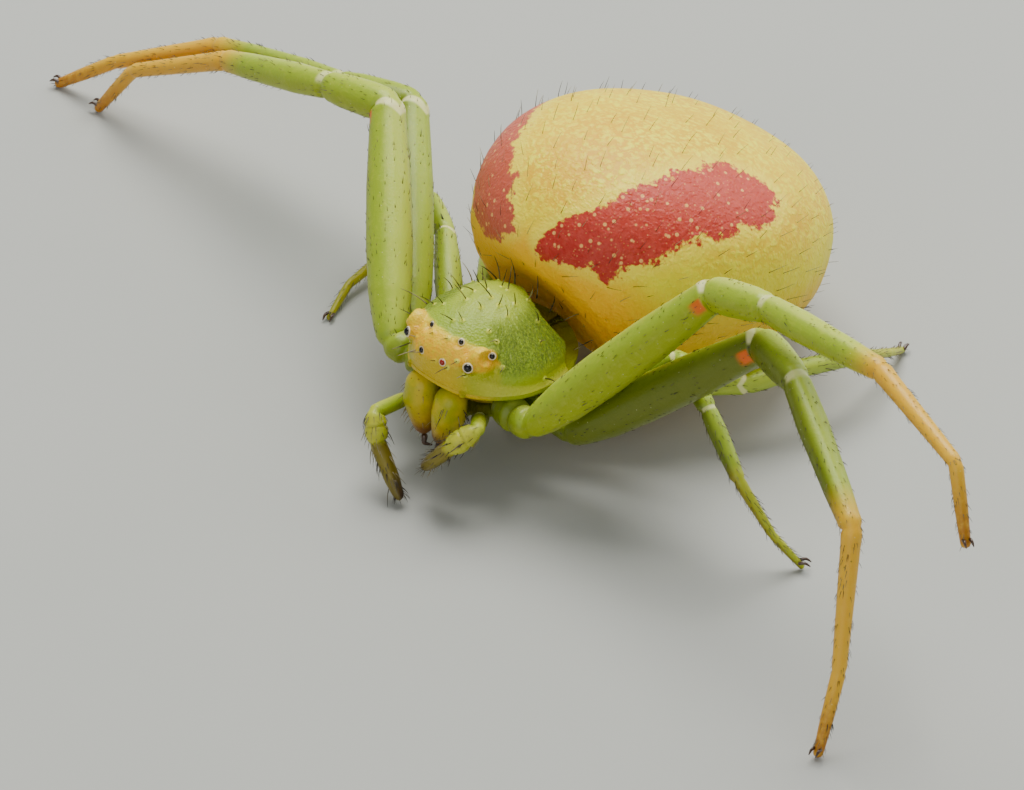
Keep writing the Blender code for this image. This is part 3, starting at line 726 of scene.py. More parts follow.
def bristles(name, roots, ways, bends, lengths, widths, spots, look, levels=4, corners=4):
    """Curved, tapering hairs as one mesh.

    A hair's middle line is its root plus its way times the distance, plus its bend times the
    distance squared over its length. Its half width falls as the root of what is left. Each
    hair keeps to a patch 0.003 wide at its root's spot on the skin's map.
    """
    count = len(roots)
    share = np.linspace(0.0, 0.92, levels)
    ways = unit(ways)
    reach = lengths[:, None, None]
    line = (roots[:, None] - ways[:, None] * widths[:, None, None]
            + ways[:, None] * share[None, :, None] * reach
            + bends[:, None] * (share**2)[None, :, None] * reach)
    tips = roots + (ways + bends) * lengths[:, None]
    helper = np.where(np.abs(ways[:, 2:3]) < 0.9, (0.0, 0.0, 1.0), (1.0, 0.0, 0.0))
    across = unit(np.cross(ways, helper))
    other = np.cross(ways, across)
    angle = np.arange(corners) * TAU / corners
    spoke = (np.cos(angle)[None, :, None] * across[:, None] + np.sin(angle)[None, :, None] * other[:, None])
    width = widths[:, None] * np.sqrt(1 - share * 0.92)[None]
    rings = line[:, :, None] + width[:, :, None, None] * spoke[:, None]
    each = levels * corners
    points = np.concatenate([rings.reshape(-1, 3), tips])
    level, corner = [part.ravel() for part in np.mgrid[0:levels - 1, 0:corners]]
    after = (corner + 1) % corners
    quads = np.stack([level * corners + corner, level * corners + after,
                      (level + 1) * corners + after, (level + 1) * corners + corner], 1)
    first = np.arange(count)[:, None, None] * each
    quads = (first + quads[None]).reshape(-1, 4)
    around = np.arange(corners)
    after = (around + 1) % corners
    top = (levels - 1) * corners
    caps = np.stack([top + around, top + after], 1)
    caps = (first + caps[None]).reshape(-1, 2)
    caps = np.concatenate([caps, np.repeat(count * each + np.arange(count), corners)[:, None]], 1)
    bottoms = (first[:, :, 0] + around[None, ::-1]).reshape(-1, corners)
    faces = [quads, caps, bottoms]
    maps = []
    for group, per_hair in zip(faces, ((levels - 1) * corners, corners, 1)):
        owner = np.repeat(np.arange(count), per_hair)
        size = group.shape[1]
        turn = np.arange(size) * TAU / size
        patch = 0.0015 * np.stack([np.cos(turn), np.sin(turn)], 1)
        maps.append(spots[owner][:, None] + patch[None])
    return finished_mesh(name, points, faces, {"OFBake": maps}, {}, look)


def aside(turn):
    """How far a turn is from straight ahead, 0 to half a turn."""
    return np.abs((turn + math.pi) % TAU - math.pi)


def carapace_outline(turn):
    """A circle with a slight snout and a bell taken off at each front corner."""
    corner = (aside(turn) - CHAMFER_ANGLE) / CHAMFER_SPREAD
    return CARAPACE_RADIUS * (1 + SNOUT * np.maximum(np.cos(turn), 0) ** 3 - CHAMFER * np.exp(-(corner**2)))


def carapace_point(share, turn):
    """The shield's upper surface: share runs from 0 on top to 1 at the rim, turn 0 is in front.

    Its height is a power of one minus a power of the share, and the outer power falls toward
    the face, which makes the front steep while the back slopes away. The rim rises under the
    eyes, and the dome leans up toward the rear.
    """
    forward = np.cos(turn)
    ahead = 0.5 * (forward + np.sqrt(forward**2 + 0.01))
    power = SIDE_POWER + (FACE_POWER - SIDE_POWER) * ahead
    power = power + (BACK_POWER - SIDE_POWER) * np.maximum(-forward, 0) ** 2
    lift = FACE_LIFT * bell(aside(turn), FACE_LIFT_SPREAD)
    rise = (CARAPACE_HEIGHT - lift) * np.maximum(1 - share**DOME_POINT, 0) ** power
    reach = share * carapace_outline(turn)
    height = RIM_HEIGHT + lift + rise - CARAPACE_TILT * reach * forward * (1 - share**2)
    return np.stack([reach * np.sin(turn), CARAPACE_MIDDLE - reach * forward, height], -1)


def eye_place(place, letter):
    """The middle and radius of a lens, from its node's box."""
    low, high = [np.array(corner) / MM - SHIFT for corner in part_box(f"eye_{place}_{letter}")]
    return (low + high) / 2, (high - low).max() / 2


def surface_normal(shape, first, second, inside):
    """Unit normals from small steps in both parameters, turned away from an inside point."""
    step = 1e-3
    along = shape(first + step, second) - shape(first - step, second)
    across = shape(first, second + step) - shape(first, second - step)
    normal = unit(np.cross(along, across))
    point = shape(first, second)
    facing = ((point - inside) * normal).sum(-1, keepdims=True)
    return normal * np.sign(facing)


def with_mound(points, middle, way, top, radius, blend=0.02):
    """Raises a surface into a half ball with a steep skirt.

    Along its way the ball's surface stands at the top less its drop, and the two heights join
    as the logarithm of the sum of their exponentials.
    """
    way = unit(way)
    offset = points - middle
    along = offset @ way
    spread = np.linalg.norm(offset - along[..., None] * way, axis=-1) / radius
    drop = 1 - np.sqrt(1 - np.minimum(spread, 0.93) ** 2) + 4 * np.maximum(spread - 0.93, 0)
    joined = blend * np.logaddexp(along / blend, (top - radius * drop) / blend)
    return points + (joined - along)[..., None] * way


def with_socket(points, middle, way, radius):
    """Lowers a surface round a lens, so that the lens stands out of it."""
    way = unit(way)
    offset = points - middle
    along = offset @ way
    spread = np.linalg.norm(offset - along[..., None] * way, axis=-1)
    top = 0.1 * radius + 1.3 * np.maximum(spread - 1.3 * radius, 0)
    lowered = np.where(spread < 5 * radius, np.minimum(along, top), along)
    return points + (lowered - along)[..., None] * way


def shield_spots():
    """Where the bristles stand on the shield, as share, turn and length, on both sides."""
    table = np.array(SHIELD_BRISTLES)
    both = np.concatenate([table, table * (-1, 1, 1)])
    both[len(table):, :2] += np.random.default_rng(3).normal(0, 0.03, (len(table), 2))
    turn = np.arctan2(both[:, 0], CARAPACE_MIDDLE - both[:, 1])
    share = np.hypot(both[:, 0], both[:, 1] - CARAPACE_MIDDLE) / carapace_outline(turn)
    return np.minimum(share, 0.985), turn, both[:, 2]


def shield_relief(base, normal, share, around, rise):
    """Lifts along the normal: furrows on the sides, an even unrest, and a ridge round the rim."""
    side = smooth_step((share - 0.3) / 0.2) * smooth_step((0.93 - share) / 0.1)
    side = side * smooth_step((0.75 - np.cos(around)) / 0.4)
    furrows = np.sin(around * FURROWS + 3 * ripple(base, 2.0, 4)) * side
    lift = FURROW_DEPTH * furrows + UNREST * ripple(base, 5.0, 7) * smooth_step(rise / 0.15)
    beside = smooth_step((aside(around) - 0.5) / 0.6)
    for at, height, width in RIM_WAVES:
        lift = lift + height * bell(rise - at, width) * beside
    return base + lift[..., None] * normal


def shield_mounds(shaped, base, normal, spots):
    """A tubercle behind each outer eye pair, a knob at each cheek, and mounds and sockets of eyes."""
    for letter, hand in SIDES.items():
        middle = mirrored(TUBERCLE, hand)
        way = mirrored(TUBERCLE_WAY, hand)
        shaped = with_mound(shaped, middle, way, TUBERCLE_RADIUS, TUBERCLE_RADIUS, TUBERCLE_BLEND)
        knob = mirrored(FACE_KNOB, hand)
        shaped = with_mound(shaped, knob, knob - EYE_AIM, FACE_KNOB_RADIUS, FACE_KNOB_RADIUS)
        for place in EYES:
            middle, radius = eye_place(place, letter)
            spread = radius * MOUND_SHARE[place.split("_")[1]]
            shaped = with_mound(shaped, middle, middle - EYE_AIM, MOUND_TOP * spread, spread, 0.01)
    for spot in spots:
        near = bell(np.linalg.norm(base - spot, axis=-1), BUMP_WIDTH)
        shaped += BUMP_HEIGHT * near[..., None] * normal
    for letter in SIDES:
        for place in EYES:
            middle, radius = eye_place(place, letter)
            shaped = with_socket(shaped, middle, middle - EYE_AIM, radius)
    return shaped


def shield_underside(turn, rim_height):
    """Rings over the rim's rounded lip and along under it to the core."""
    half = RIM_THICKNESS / 2
    up = np.array((0.0, 0.0, 1.0))
    heart = (0, CARAPACE_MIDDLE, 0)
    edge = carapace_point(np.ones(len(turn)), turn)
    reach = (edge - heart) * (1, 1, 0)
    lean = np.linspace(0.0, math.pi, LIP_STEPS + 1)[1:, None, None]
    lip = edge - half * up + unit(reach) * 0.5 * half * np.sin(lean) + half * np.cos(lean) * up
    levels = [reach * 0.9 + heart + (rim_height - RIM_THICKNESS)[:, None] * up]
    levels += [reach * part + (0, CARAPACE_MIDDLE, height) for part, height in UNDER_SHIELD]
    return np.concatenate([lip, np.stack(levels)])


def make_carapace(colours):
    """The shield from its top to its rim and round under it to the core between the legs.

    Its rows climb from the rim as the sine of an angle, and lie closest at the rim.
    """
    turn = np.arange(SHIELD_COLUMNS) * TAU / SHIELD_COLUMNS
    left = np.linspace(1.0, 0.0, SHIELD_ROWS)[1:] ** 1.6
    climb = 0.5 * math.pi * (1 - left)
    climb = np.concatenate([[0.02], climb[climb > 0.03]])
    share, around = np.meshgrid(np.sin(climb), turn, indexing="ij")
    base = carapace_point(share, around)
    normal = surface_normal(carapace_point, share.clip(2e-3, 0.998), around, np.array(EYE_AIM))
    rim_height = carapace_point(np.ones(SHIELD_COLUMNS), turn)[:, 2]
    spots = carapace_point(*shield_spots()[:2])
    shaped = shield_relief(base, normal, share, around, base[..., 2] - rim_height)
    shaped = shield_mounds(shaped, base, normal, spots)
    shaped[..., 2] = np.maximum(shaped[..., 2], rim_height)
    whole = np.concatenate([shaped, shield_underside(turn, rim_height)])
    under = np.ones((len(whole) - len(shaped), SHIELD_COLUMNS))
    plan = np.stack([np.abs(shaped[..., 0]), shaped[..., 1]], -1)
    bumps = np.linalg.norm(shaped[..., None, :] - spots, axis=-1).min(-1)
    values = {
        "gold": np.concatenate([-outline_gap(plan, EYE_FIELD), under * 0.3]),
        "grade": np.concatenate([share, under * 1.05]),
        "spin": np.broadcast_to(np.minimum(turn, TAU - turn), whole.shape[:2]),
        "bump_gap": np.concatenate([bumps, under]),
    }
    skin = closed_skin("carapace_skin", whole, carapace_look(colours), values=values)
    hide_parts("carapace")


def ripple(points, scale, seed, waves=24):
    """An even, smooth unrest between about -1 and 1: the mean of sine waves in random ways."""
    draw = np.random.default_rng(seed)
    ways = unit(draw.normal(size=(waves, 3))) * scale * draw.uniform(0.5, 1.6, (waves, 1))
    phase = draw.uniform(0, TAU, waves)
    return np.sin(points @ ways.T + phase).sum(-1) * 1.6 / math.sqrt(waves)


def carapace_look(colours):
    """Green shield with a pale crest, partly painted highlight, and stroked sides, a golden face and a gilt
    eye field with painted highlight on the tubercles.
    """
    look = Look("carapace_green", subsurface_weight=0.2, subsurface_scale=0.2 * MM,
                subsurface_radius=(0.6, 0.8, 0.15), coat_weight=0.06, coat_roughness=0.2,
                specular_ior_level=0.3)
    place = look.place()
    x, _, z = look.parts(place)
    height = z - EYE_HEIGHT
    across = look.absolute(x - float(SHIFT[0]))
    gold = look.carried("gold")
    grade = look.carried("grade")
    spin = look.carried("spin")
    bump_gap = look.carried("bump_gap")
    broad = look.noise(place, 1.6, 3.0)
    fine = look.noise(place, 14.0, 4.0, 0.6)
    speckle = look.noise(place, 34.0, 3.0, 0.7)
    # Green shield: pale crest that is partly painted highlight, dark sides with fine strokes, yellow low
    # edge
    crest = look.step(grade + 0.5 * (broad - 0.5), 0.62, 0.15)
    base = look.mix(crest * 0.8, colours.carapace, colours.carapace_pale_and_highlight)
    stripes = look.noise(look.vector(spin * 13.0, grade * 3.5, broad * 2.0), 3.0, 4.0, 0.75, 0.8)
    side = look.step(grade + 0.3 * (broad - 0.5), 0.3, 0.6) * look.step(grade, 0.98, 0.9)
    side = side * look.step(spin, 0.6, 1.0)
    dark = look.mix(look.step(speckle, 0.38, 0.62), SHIELD_SHADE, colours.carapace)
    base = look.mix(side * 0.62, base, dark)
    base = look.mix(look.step(stripes, 0.55, 0.68) * side * 0.55, base, STROKE_PALE)
    base = look.mix(look.step(stripes, 0.42, 0.3) * side * 0.6, base, STROKE_DARK)
    base = look.mix(look.step(speckle, 0.6, 0.75) * 0.3, base, SHIELD_SPECK)
    low = look.step(height + 0.12 * (broad - 0.5), -0.12, -0.36)
    base = look.mix(low * 0.75, base, SHIELD_LOW)
    # Face: golden in the middle, yellow green at the cheeks, gilt mounds above
    patch = gold + 0.06 * (fine - 0.5) + 0.06 * (broad - 0.5)
    wide = look.step(across + 0.3 * (broad - 0.5), 0.3, 0.62)
    cheek = look.mix(wide, colours.face, CHEEK)
    cheek = look.mix(look.step(fine, 0.55, 0.72) * 0.35, cheek, CHEEK_FLECK)
    base = look.mix(look.step(patch, -0.02, 0.06), base, cheek)
    upper = look.step(height + 0.12 * (broad - 0.5), -0.05, 0.07)
    gilt = look.mix(look.step(fine, 0.35, 0.7), colours.eye_field, GILT_SHEEN)
    # Brighter gold on the tubercles' tops: partly their own colour and partly painted highlight
    gilt = look.mix(look.step(height, 0.16, 0.3) * 0.5, gilt, GILT_TOP_HIGHLIGHT)
    flecks = look.step(look.cells(place, 13.0), 0.16, 0.07)
    gilt = look.mix(flecks * 0.5, gilt, GILT_FLECK)
    gilt = look.mix(look.step(broad, 0.55, 0.35) * 0.5, gilt, GILT_YELLOW)
    base = look.mix(look.step(patch, -0.03, 0.02) * upper, base, gilt)
    hem = look.step(patch, -0.05, -0.01) * look.step(patch, 0.06, 0.02) * look.step(across, 0.62, 0.45)
    base = look.mix(hem * upper * 0.4, base, GILT_HEM)
    rim = look.step(grade, 0.982, 0.995) * look.step(spin, 0.45, 0.8)
    base = look.mix(rim * 0.6, base, RIM_RIDGE)
    base = look.mix(look.step(bump_gap, 0.05, 0.028) * 0.9, base, BRISTLE_BUMP)
    lip = look.mix(look.step(spin, 0.55, 0.95), colours.face, colours.leg_below)
    base = look.mix(look.step(grade, 1.01, 1.04), base, lip)
    relief = look.noise(place, 30.0, 3.0, 0.6) * 0.5 + look.cells(place, 26.0) * 0.6
    relief = relief + look.step(stripes, 0.45, 0.65) * side * 0.9
    return look.finish(base_color=base, roughness=0.3 + 0.25 * fine, normal=look.bump(relief, 0.016, 0.9))


def make_eyes(colours):
    """Eight lenses, each a ball, in pale rings, with a painted red shine in the left front middle lens."""
    black = lens_look(colours, "eye_black", colours.lens)
    red = lens_look(colours, "eye_red", colours.painted_red_eye_shine)
    ring_parts = []
    for place in EYES:
        for letter in SIDES:
            middle, radius = eye_place(place, letter)
            polar = np.linspace(0.08, math.pi - 0.08, LENS_GRID[0])
            around = np.arange(LENS_GRID[1]) * TAU / LENS_GRID[1]
            spread, turn = np.meshgrid(polar, around, indexing="ij")
            ball = np.stack([np.sin(spread) * np.cos(turn), np.sin(spread) * np.sin(turn),
                             np.cos(spread)], -1)
            # The left front middle lens alone gets the painted red shine
            shine = place == "front_middle" and letter == "L"
            lens = closed_skin(f"lens_{place}_{letter}", middle + radius * ball, red if shine else black)
            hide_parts(f"eye_{place}_{letter}")
            ring_parts.append((middle, radius))
    make_eye_rings(ring_parts, colours)


def make_eye_rings(ring_parts, colours):
    """A ring round each lens: a small circle carried round a large one, square to the gaze."""
    rows, columns = RING_GRID
    large = np.arange(rows) * TAU / rows
    small = np.arange(columns) * TAU / columns
    points = []
    for middle, radius in ring_parts:
        gaze = unit(middle - np.array(EYE_AIM))
        across = unit(np.cross(gaze, (0.0, 0.0, 1.0)))
        other = np.cross(gaze, across)
        spoke = np.cos(large)[:, None] * across + np.sin(large)[:, None] * other
        width = 0.009 + 0.05 * radius
        reach = radius + 0.25 * width + width * np.cos(small)
        heart = middle + gaze * radius * 0.12
        circle = (heart + reach[None, :, None] * spoke[:, None]
                  + 0.9 * width * np.sin(small)[None, :, None] * gaze)
        points.append(circle.reshape(-1, 3))
    first, second = [part.ravel() for part in np.mgrid[0:rows, 0:columns]]
    after_first, after_second = (first + 1) % rows * columns, (second + 1) % columns
    first = first * columns
    quads = np.stack([first + second, after_first + second, after_first + after_second,
                      first + after_second], 1)
    quads = (np.arange(len(points))[:, None, None] * rows * columns + quads[None]).reshape(-1, 4)
    sample = np.concatenate(points)
    a, b, c = [sample[quads[:, corner]] for corner in range(3)]
    if np.einsum("ij,ij->", a, np.cross(b, c)) < 0:
        quads = quads[:, ::-1]
    square = np.tile(np.array(((0, 0), (1, 0), (1, 1), (0, 1)), float), (len(quads), 1, 1))
    look = Look("eye_ring", roughness=0.3, coat_weight=0.4)
    place = look.place()
    tone = look.mix(look.noise(place, 20.0), colours.lens_ring, RING_SHADE)
    rings = finished_mesh("eye_rings", sample, [quads], {"Skin": [square]}, {},
                          look.finish(base_color=tone))
    return rings


def lens_look(colours, name, colour):
    """A glossy, nearly black lens mottled with one colour, which for the left front middle eye is a painted
    red shine.
    """
    look = Look(name, coat_weight=0.35, coat_roughness=0.03, specular_ior_level=0.3)
    place = look.place()
    spot = look.noise(place, 12.0, 2.0)
    tone = look.mix(spot * 0.5, colour, colours.lens)
    return look.finish(base_color=tone, roughness=0.05 + 0.06 * spot)


def abdomen_point(first, second):
    """The abdomen by polar angle from its front and turn round its length.

    A unit sphere is swelled to a superellipse, its height falls toward the rear, it is tilted,
    and its low front is drawn back over the shield.
    """
    across, along, up = np.sin(first) * np.sin(second), -np.cos(first), np.sin(first) * np.cos(second)
    level = np.hypot(across, along)
    swell = (level**ABDOMEN_POWER + np.abs(up) ** ABDOMEN_POWER) ** (-1 / ABDOMEN_POWER)
    x = across * swell * ABDOMEN_RADII[0]
    y = along * swell * ABDOMEN_RADII[1]
    z = up * swell * ABDOMEN_RADII[2] * (1 - ABDOMEN_TAPER * along * swell)
    front = np.maximum(-along * swell, 0) ** 2
    tilted_y = y * math.cos(ABDOMEN_TILT) - z * math.sin(ABDOMEN_TILT)
    height = y * math.sin(ABDOMEN_TILT) + z * math.cos(ABDOMEN_TILT) + ABDOMEN_MIDDLE[2]
    low = smooth_step((OVERHANG_TOP - height) / OVERHANG_DEPTH) * bell(x, OVERHANG_WIDTH)
    return np.stack([x, tilted_y + ABDOMEN_MIDDLE[1] + ABDOMEN_OVERHANG * front * low, height], -1)


def abdomen_chart(first, second):
    """The map of the markings: how far down from the top, as a share of a half turn, left and rear."""
    across, along, up = np.sin(first) * np.sin(second), -np.cos(first), np.sin(first) * np.cos(second)
    down = np.arccos(np.clip(up, -1, 1)) / math.pi
    level = np.maximum(np.hypot(across, along), 1e-9)
    return np.stack([across / level * down, along / level * down], -1)


def outline_gap(points, outline):
    """Distance of flat points to a closed outline of straight sides, below 0 inside."""
    corners = np.asarray(outline, float)
    nearest = np.full(points.shape[:-1], np.inf)
    inside = np.zeros(points.shape[:-1], bool)
    for start, end in zip(corners, np.roll(corners, -1, axis=0)):
        way = end - start
        share = np.clip(((points - start) @ way) / (way @ way), 0, 1)
        nearest = np.minimum(nearest, np.linalg.norm(points - start - share[..., None] * way, axis=-1))
        crosses = (points[..., 1] < start[1]) != (points[..., 1] < end[1])
        rise = np.where(abs(way[1]) < 1e-12, 1e-12, way[1])
        reach = start[0] + way[0] * (points[..., 1] - start[1]) / rise
        inside ^= crosses & (points[..., 0] < reach)
    return np.where(inside, -nearest, nearest)


def make_abdomen(colours):
    """The abdomen with fine folds on its flanks."""
    rows, columns = ABDOMEN_GRID
    first, second = np.meshgrid(np.linspace(0.012, math.pi - 0.012, rows),
                                np.arange(columns) * TAU / columns, indexing="ij")
    points = abdomen_point(first, second)
    normal = surface_normal(abdomen_point, first, second, np.array(ABDOMEN_MIDDLE))
    chart = abdomen_chart(first, second)
    down = np.linalg.norm(chart, axis=-1)
    flank = smooth_step((down - 0.3) / 0.25)
    folds = np.sin(chart[..., 1] * FOLDS + 2.5 * ripple(points, 1.2, 11))
    lift = FOLD_DEPTH * folds * flank + UNREST * ripple(points, 3.0, 5)
    points = points + normal * lift[..., None]
    band = np.minimum(outline_gap(chart, BAND_LEFT), outline_gap(chart, BAND_RIGHT))
    values = {"band_gap": band * CHART_SCALE, "chart": np.concatenate([chart, down[..., None]], -1)}
    skin = closed_skin("abdomen_skin", points, abdomen_look(colours), values=values)
    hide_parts("abdomen")
    return skin


def abdomen_look(colours):
    """Tan top with pale grains, yellow flanks, an amber front brightened with painted bounce light, and two
    red bands with dots.
    """
    look = Look("abdomen_cream", roughness=0.45, subsurface_weight=0.3, subsurface_scale=0.3 * MM,
                subsurface_radius=(1.0, 0.6, 0.15), specular_ior_level=0.3)
    place = look.place()
    chart = look.carried("chart", "Vector")
    left, rear, down = look.parts(chart)
    gap = look.carried("band_gap")
    broad = look.noise(place, 0.9, 3.0)
    fine = look.noise(place, 9.0, 4.0, 0.65)
    warped = look.node("ShaderNodeVectorMath", {"operation": "ADD"},
                       {0: place, 1: look.stretched(look.noise_ways(place, 5.0), (0.09, 0.09, 0.09))})
    grain = look.cells(warped, 10.5, "SMOOTH_F1")
    grit = look.cells(warped, 19.0, "SMOOTH_F1")
    patches = look.step(look.noise(place, 1.7, 4.0, 0.6), 0.36, 0.6)
    cells = look.step(grain + 0.2 * fine, 0.6, 0.3) * (0.35 + 0.65 * patches)
    specks = look.step(grit, 0.45, 0.2)
    centre = look.step(look.absolute(left), 0.16, 0.03)
    centre = centre * look.step(rear, 0.0, -0.12) * look.step(rear, -0.46, -0.36)
    # Tan top with grains, and streaked flanks
    tan = look.mix(look.step(broad, 0.3, 0.7), colours.abdomen, TAN_PALE)
    tan = look.mix(centre * 0.5, tan, TAN_CENTRE)
    base = look.mix((cells * 0.95).over(specks * (0.2 + 0.55 * patches)), tan, colours.cells)
    flank = look.step(down + 0.05 * broad, 0.34, 0.5)
    streak = look.noise(look.vector(rear * 30.0, left * 5.0, down * 7.0), 1.5, 3.0, 0.6)
    side = look.mix(look.step(streak, 0.38, 0.62), colours.flank, FLANK_STREAK)
    side = look.mix(specks * 0.35, side, FLANK_SPECK)
    side = look.mix(look.step(down + 0.06 * broad, 0.47, 0.62) * 0.8, side, FLANK_LOW)
    base = look.mix(flank, base, side)
    # Amber front, brightened with painted bounce light from below, and the bright hem of the bands
    front = look.step(rear + 0.08 * (broad - 0.5), -0.27, -0.46)
    hot = look.mix(look.step(down + 0.05 * fine, 0.5, 0.68), AMBER_UPPER, colours.amber)
    hot = look.mix(look.step(fine, 0.5, 0.72) * 0.4, hot, AMBER_FLECK)
    base = look.mix(front * look.step(down, 0.37, 0.47), base, hot)
    edge = look.step(gap + 0.1 * (fine - 0.5), 0.34, 0.04) * look.step(down, 0.56, 0.42)
    base = look.mix(edge * 0.75, base, BAND_HEM)
    # Bands: ragged outline, paler on top and to the right, deeper below, with dots
    fringe = look.noise(look.vector(rear * 60.0, left * 9.0, down * 9.0), 1.0, 2.0)
    ragged = gap + 0.3 * (fine - 0.5) + 0.2 * (look.noise(place, 22.0, 2.0) - 0.5)
    ragged = ragged + 0.5 * (look.noise(place, 3.6, 2.0) - 0.5)
    ragged = ragged + 0.3 * (fringe - 0.5) * look.step(down, 0.28, 0.45)
    deep = look.step(down, 0.2, 0.46)
    red = look.mix(look.step(fine, 0.35, 0.7), colours.band, BAND_FLECK)
    red = look.mix((1.0 - deep) * 0.4, red, BAND_UPPER)
    red = look.mix(deep * 0.5, red, BAND_DEEP)
    red = look.mix(look.step(left, 0.02, -0.06) * 0.4, red, BAND_RIGHT_TONE)
    dots = look.step(look.cells(place, 6.8), 0.24, 0.14)
    small = look.step(look.cells(place, 15.0), 0.24, 0.12)
    red = look.mix((dots * 0.8).over(small * 0.3), red, BAND_DOT)
    base = look.mix(look.step(ragged, 0.035, -0.045), base, red)
    height = fine * 0.5 + look.noise(place, 34.0, 2.0) * 0.3 + cells * 0.35 + specks * 0.3
    return look.finish(base_color=base, roughness=0.36 + 0.2 * fine, normal=look.bump(height, 0.022, 0.8))


def make_legs(colours):
    """Eight legs, each one skin from the coxa to the foot, with its claws apart."""
    for leg in LEG_HEADINGS:
        form = leg_form(leg)
        pair = int(leg[1])
        columns = LEG_COLUMNS[0] if pair < 3 else LEG_COLUMNS[1]
        rings = limb_rings(form, columns)
        angle = np.arange(columns) * TAU / columns - math.pi
        station = np.broadcast_to(form["station"][:, None], rings.shape[:2])
        top = np.broadcast_to(np.cos(angle)[None], rings.shape[:2])
        spin = np.broadcast_to(np.sin(angle)[None], rings.shape[:2])
        rings = knee_shape(rings, form, station, top)
        rings[..., 2] = np.maximum(rings[..., 2], 0.0)
        values = {"station": station, "top": top, "spin": spin}
        skin = closed_skin(f"leg_{leg}_skin", rings, leg_look(colours, leg), values=values)
        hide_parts(*[f"leg_{leg}_{part}" for part in ("coxa", "femur", "tibia", "foot")])
        make_claws(leg, colours)


def knee_shape(rings, form, station, top):
    """Pinches each joint's lower side, where the soft skin shows, more than its upper side."""
    out = rings - form["centre"][:, None]
    pinch = np.zeros(station.shape)
    for joint in (2.0, 3.0, 4.0):
        mark = np.interp(joint, np.arange(len(form["marks"])), form["marks"])
        pinch += 0.12 * bell((form["along"] - mark)[:, None] / form["radius"].max(), 0.22) * (1 - top) / 2
    return form["centre"][:, None] + out * (1 - pinch[..., None])


def leg_look(colours, leg):
    """Green down to the tibia's end and ochre beyond, with a knee spot, pale joints and dots. The pale top
    is partly painted highlight, the white over the knee is painted highlight, and some legs' sides and
    every coxa carry painted shade.
    """
    pair = int(leg[1])
    look = Look(f"leg_{leg}_green", roughness=0.38, subsurface_weight=0.35, subsurface_scale=0.3 * MM,
                subsurface_radius=(0.7, 0.9, 0.15), coat_weight=0.1, coat_roughness=0.22,
                specular_ior_level=0.3)
    place = look.place()
    station = look.carried("station")
    top = look.carried("top")
    fine = look.noise(place, 12.0, 4.0, 0.6)
    broad = look.noise(place, 1.3, 2.0)
    base = look.mix(look.step(top + 0.4 * (broad - 0.5), 0.1, -0.75), colours.leg,
                    colours.leg_below)
    # The pale top is partly the leg's own tone and partly painted highlight, set leg by leg
    pale = LEG_PALE_TOP_AND_HIGHLIGHT.get(leg, 0.6)
    base = look.mix(look.step(top + 0.3 * (fine - 0.5), 0.4, 0.95) * pale, base, colours.leg_top_and_highlight)
    base = look.mix(look.step(fine, 0.5, 0.7) * 0.25, base, LEG_FLECK)
    # Painted shade on the sides of the legs that lie in shadow
    base = look.mix(look.step(top, 0.85, 0.1) * LEG_PAINTED_SHADE.get(leg, 0.0), base, PAINTED_LEG_SHADE_TONE)
    # Painted shade on the coxa and trochanter, under the shield
    base = look.mix(look.step(station, 1.1, 0.7) * 0.55, base, COXA_PAINTED_SHADE)
    # Knee spot, a white mark over the knee that is painted highlight, and ring at the tibia's root
    near_knee = look.step(station, 1.9, 1.94) * look.step(station, 1.985, 1.965)
    under = look.step(top, -0.15, -0.35) * look.step(top, -0.95, -0.75)
    knee = look.step(look.noise(place, 5.0), 0.3, 0.5) * near_knee * under
    chevron = station - 0.05 * look.absolute(look.carried("spin"))
    # Painted highlight: a white chevron on the top of the knee
    knee_highlight_mask = look.step(chevron, 1.925, 1.94) * look.step(chevron, 1.975, 1.96) * look.step(top, -0.1, 0.2)
    base = look.mix(knee_highlight_mask * 0.75, base, KNEE_HIGHLIGHT)
    ring = look.step(station, 2.97, 2.99) * look.step(station, 3.05, 3.02) * look.step(top, -0.2, 0.3)
    base = look.mix(ring * 0.6, base, TIBIA_RING)
    # Ochre feet, then dots
    ochre_amount = 1.0 if pair < 3 else 0.2
    ochre = look.step(station + 0.15 * (broad - 0.5), 3.72, 4.04) * ochre_amount
    foot = look.mix(look.step(station, 5.0, 5.9), colours.foot, FOOT_TIP)
    foot = look.mix(look.step(fine, 0.45, 0.7) * 0.5, foot, FOOT_FLECK)
    foot = look.mix(look.step(top, 0.2, -0.8) * 0.4, foot, FOOT_BELOW)
    base = look.mix(ochre, base, foot)
    if pair < 3:
        base = look.mix(knee * 0.9, base, colours.knee)
    dots = look.step(look.cells(place, 6.5), 0.1, 0.06) * look.step(station, 0.8, 1.1)
    base = look.mix(dots * 0.7 * look.step(top, -0.8, 0.0), base, LEG_DOT)
    pale_dots = look.step(look.cells(look.stretched(place, (1.0, 1.3, 0.9)), 8.5), 0.08, 0.05)
    base = look.mix(pale_dots * 0.5, base, LEG_PALE_DOT)
    height = look.noise(place, 26.0, 3.0, 0.6) * 0.6 + fine * 0.4
    return look.finish(base_color=base, roughness=0.28 + 0.25 * fine, normal=look.bump(height, 0.012, 0.7))


